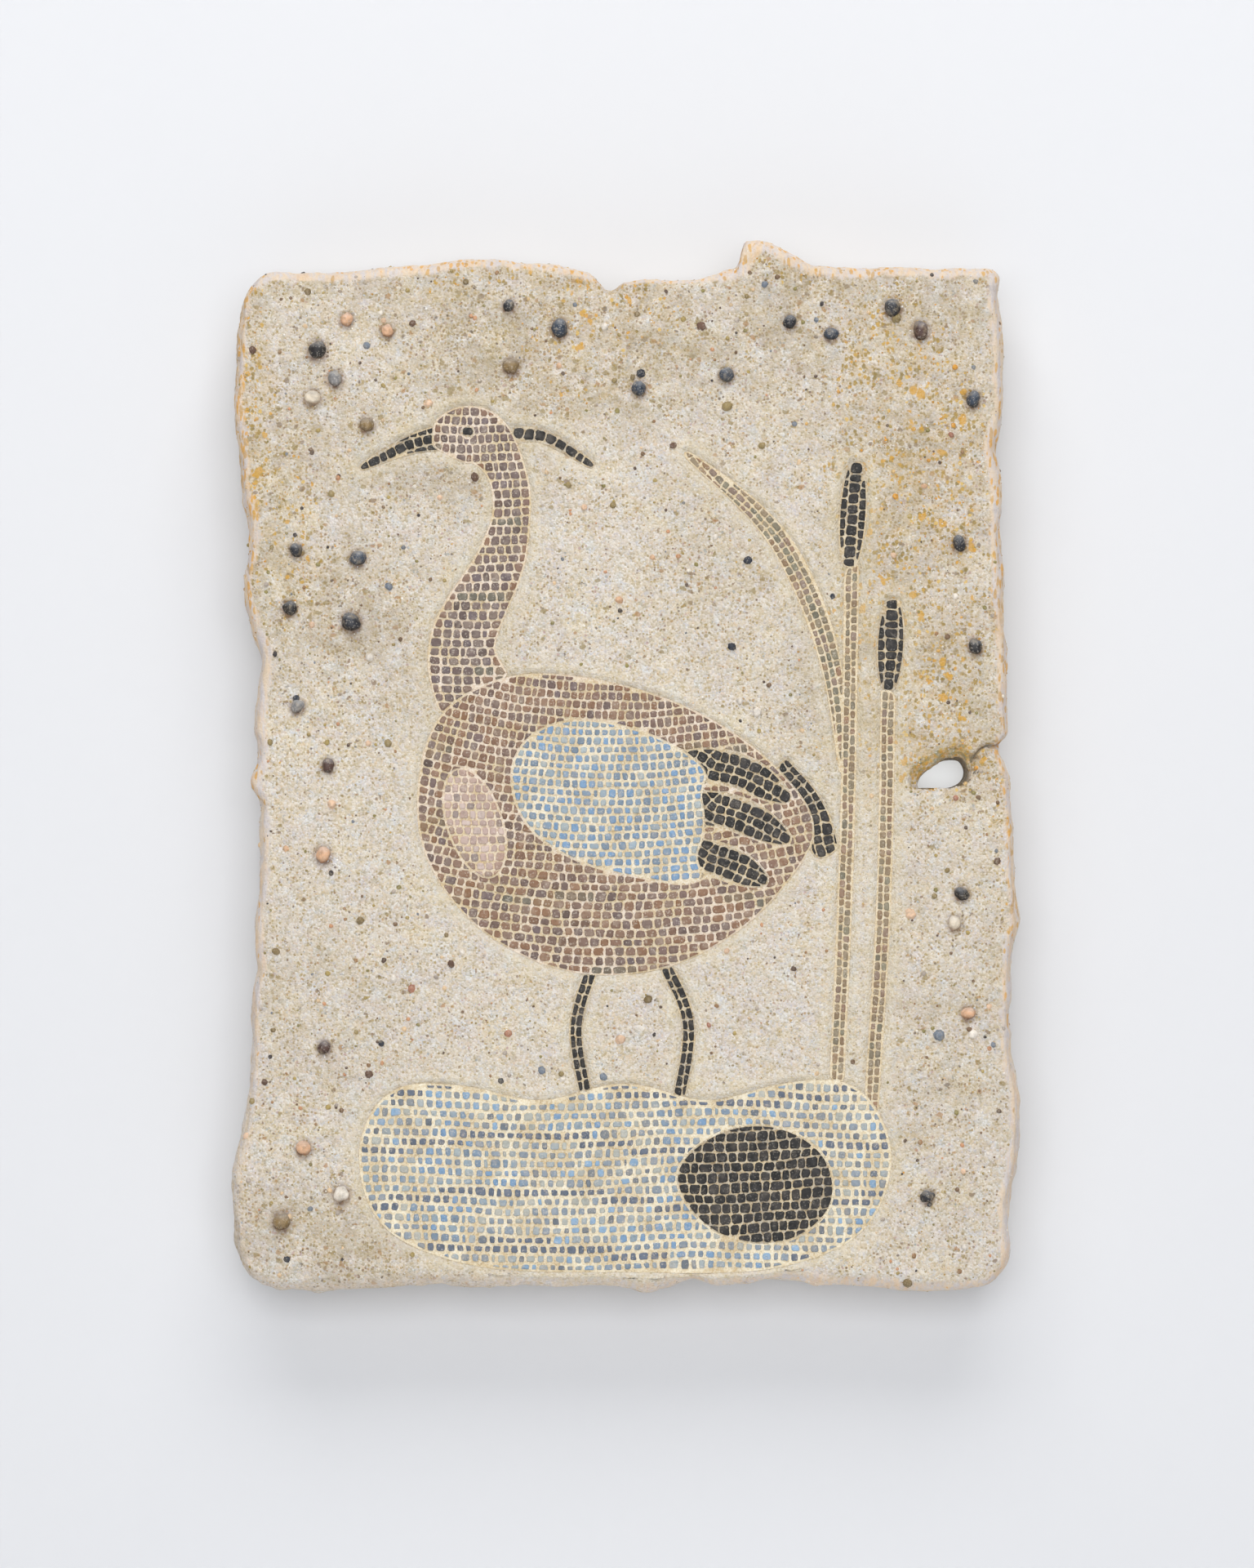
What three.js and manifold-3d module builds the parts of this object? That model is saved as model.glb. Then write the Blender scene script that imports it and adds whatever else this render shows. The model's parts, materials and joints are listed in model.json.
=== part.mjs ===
// A wall panel of cast, sandy ground, with a mosaic picture laid in its face and pebbles pressed in.
// Millimetres. +Z is up and the face looks along -Y. The origin is the middle of the flat back.
import * as THREE from "three";
import Module from "manifold-3d";

const wasm = await Module();
wasm.setup();

// Driving dimensions of the slab.
const THICKNESS = 38;
const EDGE = { left: -166, right: 170, top: 221, bottom: -229 };
const CORNER = { topLeft: 18, topRight: 11, bottomLeft: 20, bottomRight: 18 };
const CORNER_STEPS = 5;
const STATION_SPACING = 11;
const FINE_SPACING = 3.2;
const WANDER = { size: 0.5, length: 37 };

// How the slab's section runs from the face to the back: depth behind the face, and inset from the outline.
// The front inset is multiplied by each edge's roundness, so the lower rim is the broadest.
const FRONT_SECTION = [
  { depth: 0, inset: 7 },
  { depth: 1.4, inset: 3.6 },
  { depth: 5, inset: 1.2 },
];
const BACK_SECTION = [
  { depth: 16, inset: 0 },
  { depth: 33, inset: 0.7 },
  { depth: THICKNESS, inset: 4 },
];
const ROUNDNESS = { left: 1, right: 1, top: 0.85, bottom: 1.35 };

// Swellings (out > 0) and hollows (out < 0) of each edge: middle, size, and half of the length it covers.
const LUMPS = {
  left: [
    { at: 165, out: 7, reach: 85 },
    { at: 78, out: 3, reach: 24 },
    { at: 46, out: -5, reach: 18 },
    { at: -25, out: -4.4, reach: 95 },
    { at: 20, out: 2.4, reach: 9 },
    { at: -6, out: 5, reach: 12 },
    { at: -88, out: -2, reach: 14 },
    { at: -190, out: 8.7, reach: 62 },
  ],
  right: [
    { at: 206, out: -4, reach: 24 },
    { at: 130, out: -3.4, reach: 120 },
    { at: 140, out: -2.2, reach: 13 },
    { at: 9, out: -5.5, reach: 5.5 },
    { at: -55, out: 2.6, reach: 75 },
    { at: -65, out: 2.2, reach: 14 },
    { at: -155, out: 5.2, reach: 45 },
  ],
  top: [
    { at: -140, out: -3, reach: 34 },
    { at: -62, out: 3.6, reach: 44 },
    { at: -7, out: -7, reach: 9 },
    { at: 18, out: -5.4, reach: 44 },
  ],
  bottom: [
    { at: -134, out: 2.8, reach: 38 },
    { at: 8, out: 2, reach: 18 },
    { at: 31, out: -2.6, reach: 12 },
    { at: 65, out: -2.6, reach: 26 },
    { at: 132, out: 2.2, reach: 34 },
  ],
};
// The broken step in the top edge: it rises at once and falls off to the right.
const STEP = { at: 49, rise: 12, run: 3, flat: 10, fall: 28 };
// Short stretches of the edges that need stations close together.
const FINE = { left: [[26, -20]], right: [[18, 1]], top: [[72, 44], [2, -17]], bottom: [] };

// The break through the slab near its right edge, and the crack from it to the edge.
const HOLE = {
  corners: [
    [125.5, -5.6], [135, -6.2], [145, -5.8], [149.8, -2], [149, 4.6], [144.5, 6.2], [136, 3.4], [129, -1.6],
  ],
  steps: 18,
};
const HOLE_SECTION = [
  { depth: -1, grow: 3 },
  { depth: 1.2, grow: 1.7 },
  { depth: 5, grow: 0.4 },
  { depth: THICKNESS + 1, grow: 0 },
];
const CRACK = { width: 1.7, depth: 10, route: [[147, -2], [152, 5], [158.5, 10.5], [164.5, 9], [172, 10]] };

// The inlay plates: how deep they lie, how thick they are, and the lip of ground around them.
const INLAY = { sunk: 1.2, thickness: 3, lip: 1.3 };
const GAP = 0.3;
// Cutters start this far in front of the face.
const CLEARANCE = 1;

// Pebbles: how far a ring of the stone stands out of the ground, and how wide it is, against its size.
const PEBBLE_SIDES = 8;
const PEBBLE_RINGS = [
  { out: 0.42, wide: 0.42 },
  { out: 0.26, wide: 0.84 },
  { out: -0.08, wide: 1 },
  { out: -0.42, wide: 0.6 },
];

// Colours and surface of each material.
const FINISHES = {
  ground: { color: 0xcfc2ac, roughness: 0.95 },
  mauve: { color: 0xa08a80, roughness: 0.6 },
  blue: { color: 0x8c9aaa, roughness: 0.55 },
  sky: { color: 0x8fb0d2, roughness: 0.5 },
  black: { color: 0x3a3836, roughness: 0.5 },
  pink: { color: 0xd8bfb4, roughness: 0.6 },
  reed: { color: 0x8a8a78, roughness: 0.65 },
  dark_pebble: { color: 0x35353a, roughness: 0.45 },
  warm_pebble: { color: 0xd39a72, roughness: 0.5 },
  pale_pebble: { color: 0xdccbb0, roughness: 0.5 },
  brown_pebble: { color: 0x86704c, roughness: 0.55 },
  grey_pebble: { color: 0x76797f, roughness: 0.5 },
};

// Where the larger pebbles sit on the face, and their sizes.
const PEBBLES = {
  dark_pebble: [
    [-135, 183, 8], [-51, 202, 5.5], [-29, 192, 8], [6, 166, 6.5], [44, 172, 6.5], [72, 195, 6],
    [90, 190, 6], [117, 201, 8], [129, 191, 7.5], [152, 161, 7], [-144, 95, 6], [-117, 92, 7],
    [-147, 70, 6.5], [-120, 64, 8.5], [-130, 1, 6], [-132, -122, 6], [146, 98, 6.5],
    [153, 53, 6.5], [147, -55, 6.5], [132, -187, 6],
  ],
  warm_pebble: [[-122, 196, 6], [-104, 191, 5.5], [-132, -38, 7], [-141, -166, 6.5], [150, -107, 6]],
  pale_pebble: [[-137, 162, 7], [-124, -186, 7], [144, -68, 6]],
  brown_pebble: [[-50, 176, 7], [-113, 150, 6.5], [-150, -198, 7.5]],
  grey_pebble: [[-127, 170, 6.5], [-143, 27, 6]],
};

// ---------------------------------------------------------------- solids

/** A raised cosine: 1 in the middle, 0 at and past the reach. */
function swell(distance, reach) {
  if (Math.abs(distance) >= reach) return 0;
  return (1 + Math.cos((Math.PI * distance) / reach)) / 2;
}

/** A repeatable number from 0 to 1 for a whole number. */
function unit(number) {
  const wild = Math.sin(number * 12.9898 + 4.1) * 43758.5453;
  return wild - Math.floor(wild);
}

/** Joins rings of [x, z] outlines, each at its depth behind the face, into one closed solid. */
function loft(rings) {
  const count = rings[0].outline.length;
  const positions = rings.flatMap(({ outline, depth }) =>
    outline.flatMap((point) => [point.x, depth - THICKNESS, point.y]),
  );
  const index = [];
  const last = (rings.length - 1) * count;
  for (const [a, b, c] of THREE.ShapeUtils.triangulateShape(rings[0].outline, [])) {
    index.push(a, b, c);
  }
  for (const [a, b, c] of THREE.ShapeUtils.triangulateShape(rings.at(-1).outline, [])) {
    index.push(last + a, last + c, last + b);
  }
  for (let ring = 0; ring < rings.length - 1; ring += 1) {
    for (let i = 0; i < count; i += 1) {
      const here = ring * count + i;
      const next = ring * count + ((i + 1) % count);
      index.push(here, here + count, next, next, here + count, next + count);
    }
  }
  return new wasm.Manifold(
    new wasm.Mesh({
      numProp: 3,
      vertProperties: new Float32Array(positions),
      triVerts: new Uint32Array(index),
    }),
  );
}

/** The geometry of a finished solid. */
function geometryOf(solid) {
  const mesh = solid.getMesh();
  const geometry = new THREE.BufferGeometry();
  geometry.setAttribute("position", new THREE.BufferAttribute(mesh.vertProperties, 3));
  geometry.setIndex(new THREE.BufferAttribute(mesh.triVerts, 1));
  geometry.computeVertexNormals();
  return geometry;
}

/** Moves each point of a counter-clockwise outline outwards. */
function grow(outline, by) {
  const count = outline.length;
  return outline.map((point, i) => {
    const before = point.clone().sub(outline[(i + count - 1) % count]).normalize();
    const after = outline[(i + 1) % count].clone().sub(point).normalize();
    const along = before.clone().add(after).normalize();
    const stretch = 1 / Math.max(0.6, along.dot(after));
    return new THREE.Vector2(point.x + along.y * by * stretch, point.y - along.x * by * stretch);
  });
}

/** A smooth closed outline through a few points, given counter-clockwise. */
function blob(points, steps) {
  const curve = new THREE.CatmullRomCurve3(
    points.map(([x, z]) => new THREE.Vector3(x, z, 0)),
    true,
    "centripetal",
  );
  return curve.getSpacedPoints(steps).slice(0, -1).map(({ x, y }) => new THREE.Vector2(x, y));
}

/** An ellipse, turned about its middle. */
function ellipse(x, z, halfLength, halfWidth, turn, steps) {
  const curve = new THREE.EllipseCurve(x, z, halfLength, halfWidth, 0, 2 * Math.PI, false, turn);
  return curve.getPoints(steps).slice(0, -1);
}

/** A strip along a smooth line, with its width given from the line's start (0) to its end (1). */
function ribbon(points, widthAt, steps) {
  const curve = new THREE.SplineCurve(points.map(([x, z]) => new THREE.Vector2(x, z)));
  const right = [];
  const left = [];
  for (let i = 0; i <= steps; i += 1) {
    const t = i / steps;
    const middle = curve.getPoint(t);
    const along = curve.getTangent(t);
    const half = widthAt(t) / 2;
    right.push(new THREE.Vector2(middle.x + along.y * half, middle.y - along.x * half));
    left.unshift(new THREE.Vector2(middle.x - along.y * half, middle.y + along.x * half));
  }
  return [...right, ...left];
}

// ---------------------------------------------------------------- slab

/** How far an edge stands out from its straight line at a place along it. */
function edgeOffset(side, at) {
  const lumps = LUMPS[side].reduce((sum, lump) => sum + lump.out * swell(at - lump.at, lump.reach), 0);
  const wander = WANDER.size * Math.sin((2 * Math.PI * at) / WANDER.length);
  if (side !== "top" || at < STEP.at) return lumps + wander;
  const climb = Math.min(1, (at - STEP.at) / STEP.run);
  const past = Math.max(0, at - STEP.at - STEP.flat);
  const fade = past === 0 ? 1 : swell(past, STEP.fall);
  return lumps + wander + STEP.rise * climb * fade;
}

/** Places along an edge, from one end to the other, closer together in its fine stretches. */
function placesAlong(side, from, to) {
  const length = Math.abs(to - from);
  const direction = Math.sign(to - from);
  const places = [];
  let gone = 0;
  while (gone < length - FINE_SPACING / 2) {
    const at = from + direction * gone;
    const isFine = FINE[side].some(([high, low]) => at <= high && at >= low);
    places.push(at);
    gone += isFine ? FINE_SPACING : STATION_SPACING;
  }
  places.push(to);
  return places;
}

/** The stations of the slab's outline, counter-clockwise: base point, outward normal and offset. */
function slabStations() {
  const { left, right, top, bottom } = EDGE;
  const sides = [
    { side: "bottom", from: left + CORNER.bottomLeft, to: right - CORNER.bottomRight, normal: [0, -1] },
    { side: "right", from: bottom + CORNER.bottomRight, to: top - CORNER.topRight, normal: [1, 0] },
    { side: "top", from: right - CORNER.topRight, to: left + CORNER.topLeft, normal: [0, 1] },
    { side: "left", from: top - CORNER.topLeft, to: bottom + CORNER.bottomLeft, normal: [-1, 0] },
  ];
  const corners = [CORNER.bottomRight, CORNER.topRight, CORNER.topLeft, CORNER.bottomLeft];
  const stations = [];
  sides.forEach(({ side, from, to, normal }, i) => {
    const isUpright = side === "left" || side === "right";
    for (const at of placesAlong(side, from, to)) {
      const point = isUpright ? [EDGE[side], at] : [at, EDGE[side]];
      stations.push({ point, normal, offset: edgeOffset(side, at), roundness: ROUNDNESS[side] });
    }
    const next = sides[(i + 1) % sides.length];
    const radius = corners[i];
    const end = stations.at(-1).point;
    const middle = [end[0] - normal[0] * radius, end[1] - normal[1] * radius];
    const startAngle = Math.atan2(normal[1], normal[0]);
    for (let step = 1; step < CORNER_STEPS; step += 1) {
      const part = step / CORNER_STEPS;
      const angle = startAngle + (part * Math.PI) / 2;
      const out = [Math.cos(angle), Math.sin(angle)];
      stations.push({
        point: [middle[0] + out[0] * radius, middle[1] + out[1] * radius],
        normal: out,
        offset: (1 - part) * edgeOffset(side, to) + part * edgeOffset(next.side, next.from),
        roundness: (1 - part) * ROUNDNESS[side] + part * ROUNDNESS[next.side],
      });
    }
  });
  return stations;
}

/** The slab before anything is cut into it. */
function plainSlab() {
  const stations = slabStations();
  const ringAt = (depth, insetOf) => ({
    depth,
    outline: stations.map((station) => {
      const out = station.offset - insetOf(station);
      const [x, z] = station.point;
      return new THREE.Vector2(x + station.normal[0] * out, z + station.normal[1] * out);
    }),
  });
  return loft([
    ...FRONT_SECTION.map(({ depth, inset }) => ringAt(depth, ({ roundness }) => inset * roundness)),
    ...BACK_SECTION.map(({ depth, inset }) => ringAt(depth, () => inset)),
  ]);
}

/** The break: flat below, arched above, blunt at its right end and pointed at its left. */
function holeCutter() {
  const outline = blob(HOLE.corners, HOLE.steps);
  return loft(HOLE_SECTION.map((ring) => ({ depth: ring.depth, outline: grow(outline, ring.grow) })));
}

/** The crack that runs from the break to the notch in the right edge. */
function crackCutter() {
  const outline = ribbon(CRACK.route, (t) => CRACK.width * (0.8 + 0.4 * t), 5);
  return loft([
    { depth: -CLEARANCE, outline },
    { depth: CRACK.depth, outline },
  ]);
}

// ---------------------------------------------------------------- inlay

/** How wide the bird's neck is, from its body (0) to its head (1), which swells and then draws in. */
function neckWidth(part) {
  const taper = 38 - 22 * Math.min(1, 2 * part);
  const head = 9 * swell(part - 0.84, 0.2);
  const drawnIn = part > 0.9 ? 1 - 4 * (part - 0.9) : 1;
  return (taper + head) * drawnIn;
}

/** How wide a wing feather is, from the shoulder (0) to its tip (1). */
function featherWidth(part) {
  const spread = Math.min(1, 0.6 + 2 * part);
  const tip = part > 0.7 ? 1 - 2.4 * (part - 0.7) : 1;
  return 15 * spread * tip;
}

/** A crane: its eye, breast, folded wing, body, tail, neck, beak and crest. */
function birdAreas() {
  const shoulder = [
    [-50, 0], [-44, -24], [-22, -40], [8, -48], [34, -50], [30, -36], [36, -26], [32, -14], [36, -2],
    [24, 8], [4, 17], [-24, 21], [-42, 14],
  ];
  const body = [
    [-90, -4], [-88, -36], [-66, -68], [-28, -88], [14, -88], [48, -72], [72, -48], [83, -26],
    [66, 0], [32, 24], [-10, 38], [-50, 40], [-80, 24],
  ];
  const feathers = [
    [[20, 0], [46, 0], [72, -14]],
    [[20, -18], [46, -19], [72, -32]],
    [[18, -38], [40, -40], [62, -50]],
  ];
  return [
    { name: "inlay_eye", finish: "black", outline: ellipse(-69, 147, 2.8, 2.8, 0, 8) },
    { name: "inlay_breast", finish: "pink", outline: ellipse(-66, -24, 25, 12, -1.25, 18) },
    { name: "inlay_wing_shoulder", finish: "sky", outline: blob(shoulder, 26) },
    ...feathers.map((route, i) => ({
      name: `inlay_feather_${i + 1}`,
      finish: "black",
      outline: ribbon(route, featherWidth, 8),
    })),
    { name: "inlay_body", finish: "mauve", outline: blob(body, 44) },
    {
      name: "inlay_tail",
      finish: "black",
      outline: ribbon([[62, -6], [78, -18], [89, -38]], (t) => 27 - 17 * t, 5),
    },
    {
      name: "inlay_neck",
      finish: "mauve",
      outline: ribbon([[-58, 18], [-72, 52], [-54, 92], [-50, 122], [-62, 144], [-84, 146]], neckWidth, 22),
    },
    {
      name: "inlay_beak",
      finish: "black",
      outline: ribbon([[-78, 145], [-96, 141], [-116, 131]], (t) => 12 - 9.5 * t, 5),
    },
    {
      name: "inlay_crest",
      finish: "black",
      outline: ribbon([[-56, 143], [-38, 146], [-14, 132]], (t) => 8 - 5 * t, 6),
    },
  ];
}

/** The water, the stone that stands in it, and the bird's legs, which end at the water. */
function waterAreas() {
  const stone = [[22, -178], [38, -202], [70, -207], [90, -191], [87, -170], [66, -157], [40, -160]];
  const pool = [
    [-116, -164], [-108, -198], [-72, -216], [0, -220], [72, -217], [106, -200], [116, -166],
    [100, -139], [70, -138], [36, -146], [0, -138], [-38, -146], [-72, -139], [-102, -141],
  ];
  const leg = () => 5.2;
  return [
    { name: "inlay_stone", finish: "black", outline: blob(stone, 22) },
    { name: "inlay_water", finish: "blue", outline: blob(pool, 52) },
    { name: "inlay_leg_1", finish: "black", outline: ribbon([[-14, -86], [-22, -114], [-16, -148]], leg, 6) },
    { name: "inlay_leg_2", finish: "black", outline: ribbon([[16, -84], [28, -112], [22, -150]], leg, 6) },
  ];
}

/** The reeds that stand in the water beside the bird. */
function reedAreas() {
  const stem = () => 5.6;
  const seedHead = (t) => 11.5 * (0.45 + 0.55 * Math.sin(Math.PI * t));
  const leaf = (t) => 2.5 + 7 * Math.sin(Math.PI * t);
  return [
    { name: "inlay_seed_head_1", finish: "black", outline: ribbon([[98, 88], [101, 134]], seedHead, 7) },
    { name: "inlay_seed_head_2", finish: "black", outline: ribbon([[115, 34], [117, 74]], seedHead, 7) },
    { name: "inlay_reed_1", finish: "reed", outline: ribbon([[92, -148], [97, -30], [99, 92]], stem, 8) },
    { name: "inlay_reed_2", finish: "reed", outline: ribbon([[107, -156], [113, -60], [115, 38]], stem, 8) },
    {
      name: "inlay_reed_leaf",
      finish: "reed",
      outline: ribbon([[96, -6], [89, 50], [66, 102], [26, 138]], leaf, 11),
    },
  ];
}

/** The plate of an inlay area, whole. */
function plate(outline) {
  return loft([
    { depth: INLAY.sunk, outline },
    { depth: INLAY.sunk + INLAY.thickness, outline },
  ]);
}

/** The room that an inlay area takes from its neighbours. */
function plateWithGap(outline) {
  const grown = grow(outline, GAP);
  return loft([
    { depth: INLAY.sunk - CLEARANCE, outline: grown },
    { depth: INLAY.sunk + INLAY.thickness + CLEARANCE, outline: grown },
  ]);
}

/** The pocket in the ground that holds an inlay area, with its sloping lip. */
function pocket(outline) {
  const wall = grow(outline, GAP);
  const lipInFront = (INLAY.lip * (INLAY.sunk + CLEARANCE)) / INLAY.sunk;
  return loft([
    { depth: -CLEARANCE, outline: grow(outline, GAP + lipInFront) },
    { depth: INLAY.sunk, outline: wall },
    { depth: INLAY.sunk + INLAY.thickness + GAP, outline: wall },
  ]);
}

// ---------------------------------------------------------------- pebbles

/** The widest outline of a pebble: a lopsided round, turned its own way. */
function pebbleOutline(x, z, size, number) {
  const turn = 2 * Math.PI * unit(number);
  const long = 1.04 + 0.14 * unit(number + 100);
  const outline = [];
  for (let i = 0; i < PEBBLE_SIDES; i += 1) {
    const angle = (2 * Math.PI * i) / PEBBLE_SIDES;
    const radius = (size / 2) * (1 + 0.07 * Math.sin(3 * angle + turn));
    const along = radius * long * Math.cos(angle);
    const across = (radius / long) * Math.sin(angle);
    outline.push(
      new THREE.Vector2(
        x + along * Math.cos(turn) - across * Math.sin(turn),
        z + along * Math.sin(turn) + across * Math.cos(turn),
      ),
    );
  }
  return outline;
}

/** A pebble, half in the ground. */
function pebble(outline, x, z, size) {
  const middle = new THREE.Vector2(x, z);
  return loft(
    PEBBLE_RINGS.map(({ out, wide }) => ({
      depth: -out * size,
      outline: outline.map((point) => point.clone().sub(middle).multiplyScalar(wide).add(middle)),
    })),
  );
}

/** The socket that holds a pebble. */
function socket(outline, size) {
  const wall = grow(outline, GAP);
  const sunk = -PEBBLE_RINGS.at(-1).out * size;
  return loft([
    { depth: -CLEARANCE, outline: wall },
    { depth: sunk + GAP, outline: wall },
  ]);
}

// ---------------------------------------------------------------- panel

const panel = new THREE.Group();

/** Adds one named piece to the panel. */
function addPiece(name, solid, finish) {
  const { color, roughness } = FINISHES[finish];
  const material = new THREE.MeshStandardMaterial({ color, roughness, metalness: 0 });
  const mesh = new THREE.Mesh(geometryOf(solid), material);
  mesh.name = name;
  panel.add(mesh);
}

let slab = plainSlab().subtract(holeCutter()).subtract(crackCutter());

// Where two areas overlap, the earlier one is whole and cuts the later one.
const areas = [...birdAreas(), ...waterAreas(), ...reedAreas()];
areas.forEach(({ name, finish, outline }, i) => {
  let solid = plate(outline);
  for (const earlier of areas.slice(0, i)) {
    solid = solid.subtract(plateWithGap(earlier.outline));
  }
  slab = slab.subtract(pocket(outline));
  addPiece(name, solid, finish);
});

let pebbleNumber = 0;
for (const [kind, places] of Object.entries(PEBBLES)) {
  places.forEach(([x, z, size], i) => {
    pebbleNumber += 1;
    const outline = pebbleOutline(x, z, size, pebbleNumber);
    slab = slab.subtract(socket(outline, size));
    addPiece(`${kind}_${i + 1}`, pebble(outline, x, z, size), kind);
  });
}

addPiece("slab", slab, "ground");

export default panel;
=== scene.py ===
"""The looks of a mosaic wall panel: sandy ground, tesserae, pebbles and sand, built round its CAD solids."""

import json
import math

import bmesh
import bpy
import numpy as np
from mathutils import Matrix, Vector
from mathutils.bvhtree import BVHTree
from mathutils.geometry import delaunay_2d_cdt


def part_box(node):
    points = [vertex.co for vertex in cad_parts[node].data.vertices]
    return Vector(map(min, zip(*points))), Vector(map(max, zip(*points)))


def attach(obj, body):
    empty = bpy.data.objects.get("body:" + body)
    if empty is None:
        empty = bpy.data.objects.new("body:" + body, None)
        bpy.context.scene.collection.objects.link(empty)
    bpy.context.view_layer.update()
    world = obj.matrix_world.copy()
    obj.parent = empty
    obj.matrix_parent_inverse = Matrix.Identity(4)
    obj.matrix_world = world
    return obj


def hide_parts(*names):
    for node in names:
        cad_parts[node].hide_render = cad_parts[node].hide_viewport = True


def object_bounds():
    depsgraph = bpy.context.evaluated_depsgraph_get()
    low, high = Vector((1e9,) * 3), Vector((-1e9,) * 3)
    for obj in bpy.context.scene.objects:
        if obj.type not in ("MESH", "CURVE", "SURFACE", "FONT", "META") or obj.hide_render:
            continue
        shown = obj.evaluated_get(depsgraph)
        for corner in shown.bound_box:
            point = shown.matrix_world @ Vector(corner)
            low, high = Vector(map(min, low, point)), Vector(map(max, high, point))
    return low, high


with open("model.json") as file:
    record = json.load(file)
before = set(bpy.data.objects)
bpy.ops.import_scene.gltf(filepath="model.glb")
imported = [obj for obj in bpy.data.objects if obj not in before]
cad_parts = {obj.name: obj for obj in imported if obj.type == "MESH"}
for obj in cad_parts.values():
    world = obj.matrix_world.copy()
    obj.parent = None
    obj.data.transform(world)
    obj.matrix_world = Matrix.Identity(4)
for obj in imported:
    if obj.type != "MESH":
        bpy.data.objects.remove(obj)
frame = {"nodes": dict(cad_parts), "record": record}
cad_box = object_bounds()

MM = 0.001

# How finely the ground is meshed.
FACE_SPACING = 1.42 * MM
EDGE_SPACING = 1.75 * MM
BACK_SPACING = 6 * MM
BACK_GAP = 0.6 * BACK_SPACING
MORTAR_SPACING = 2 * MM
MORTAR_GAP = 1.1 * MM
# How far apart points lie on the picture's outlines, the crack and the mortar's rim, and the least distance
# between points on those lines and between the others.
OUTLINE_STEP = 1.3 * MM
CRACK_STEP = 0.9 * MM
MORTAR_STEP = 1.5 * MM
LINE_GAP = 0.62 * MM
FACE_GAP = 0.95 * MM
# How far the points of the face's grid are shifted, as a share of their spacing.
GRID_JITTER = 0.22
# How deep, in mm, the rings of points round the edges and the break lie.
RING_DEPTHS = [0, 0.3, 0.8, 1.5, 2.5, 3.8, 5.5, 8, 11.5, 16, 20.5, 25, 29.5, 33, 35.5, 37.2, 38]

# The lip of ground that slopes down to the picture, and the mortar that the tiles stand in.
LIP = 2.3 * MM
MORTAR_DEPTH = 1.5 * MM
MORTAR_THICKNESS = 1.3 * MM
BED_DEPTH = 2.3 * MM
MORTAR_GROWTH = 0.4 * MM

# How much the crust in the break narrows it, across and up, and how far it slopes down behind the face.
THROAT = (0.8, 0.97)
BREAK_SLOPE = 2.4 * MM
# Where that crust is, in mm behind the face: all there from the first depth to the second, gone at the third.
CRUST_DEPTHS = (5.5, 12, 30)
CRUST_RAGGED = 0.16

# The sandy relief: how high and how wide each layer's bumps are, in mm, and its noise's seed.
RELIEF = {
    "swell": [(1.0, 48, 1), (0.7, 17, 2)],
    "lumps": [(0.6, 6.5, 3), (0.85, 3.2, 4)],
    "knobs": [(1.3, 9, 7), (0.8, 4, 8)],
    "grain": [(0.55, 1.7, 5)],
}
# The height, in mm, below which the relief leaves the solid's surface as it is.
MEAN_RELIEF = 1.4

# Each colour of tile. How it is laid, in mm: pitch along and across a course, width of the joints, and how
# far a tile stands out of the mortar. Then how much pale dust lies on it, its mortar's colour, and its own
# colours with how often each comes up.
TILES = {
    "mauve_tile": {
        "pitch": 4.0, "course": 4.0, "joint": 0.82, "proud": 0.5, "dust": 0.3, "mortar": "#e6d4c5",
        "colours": [
            ("#74635e", 5), ("#6b5a55", 3), ("#7f6e66", 3), ("#716364", 2), ("#62524b", 1), ("#87766b", 1),
        ],
    },
    "blue_tile": {
        "pitch": 4.1, "course": 4.1, "joint": 1.35, "proud": 0.42, "dust": 0.3, "mortar": "#f5eacf",
        "colours": [
            ("#8f9aa5", 4), ("#a3abad", 3), ("#8a8f93", 2), ("#8caac6", 2), ("#b1b3ab", 2), ("#6f7780", 1),
        ],
    },
    "sky_tile": {
        "pitch": 3.8, "course": 3.8, "joint": 1.1, "proud": 0.42, "dust": 0.3, "mortar": "#efe4cc",
        "colours": [("#8497aa", 4), ("#93a3ae", 3), ("#7b8b9b", 2), ("#7c9cbd", 3), ("#a6b0b2", 1)],
    },
    "black_tile": {
        "pitch": 4.6, "course": 4.5, "joint": 0.6, "proud": 0.5, "dust": 0.1, "mortar": "#9b8d7b",
        "colours": [("#232120", 5), ("#2c2928", 3), ("#1b1a19", 3), ("#3a3633", 1)],
    },
    "pink_tile": {
        "pitch": 3.7, "course": 3.7, "joint": 0.8, "proud": 0.45, "dust": 0.3, "mortar": "#ead6c6",
        "colours": [("#bfa79d", 4), ("#b39a8f", 3), ("#cdb9b0", 2), ("#998a84", 2)],
    },
    "reed_tile": {
        "pitch": 3.8, "course": 2.8, "joint": 0.7, "proud": 0.45, "dust": 0.3, "mortar": "#e0cfb0",
        "colours": [("#85806c", 4), ("#767261", 3), ("#968972", 2), ("#8d7a6c", 2)],
    },
}

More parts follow.
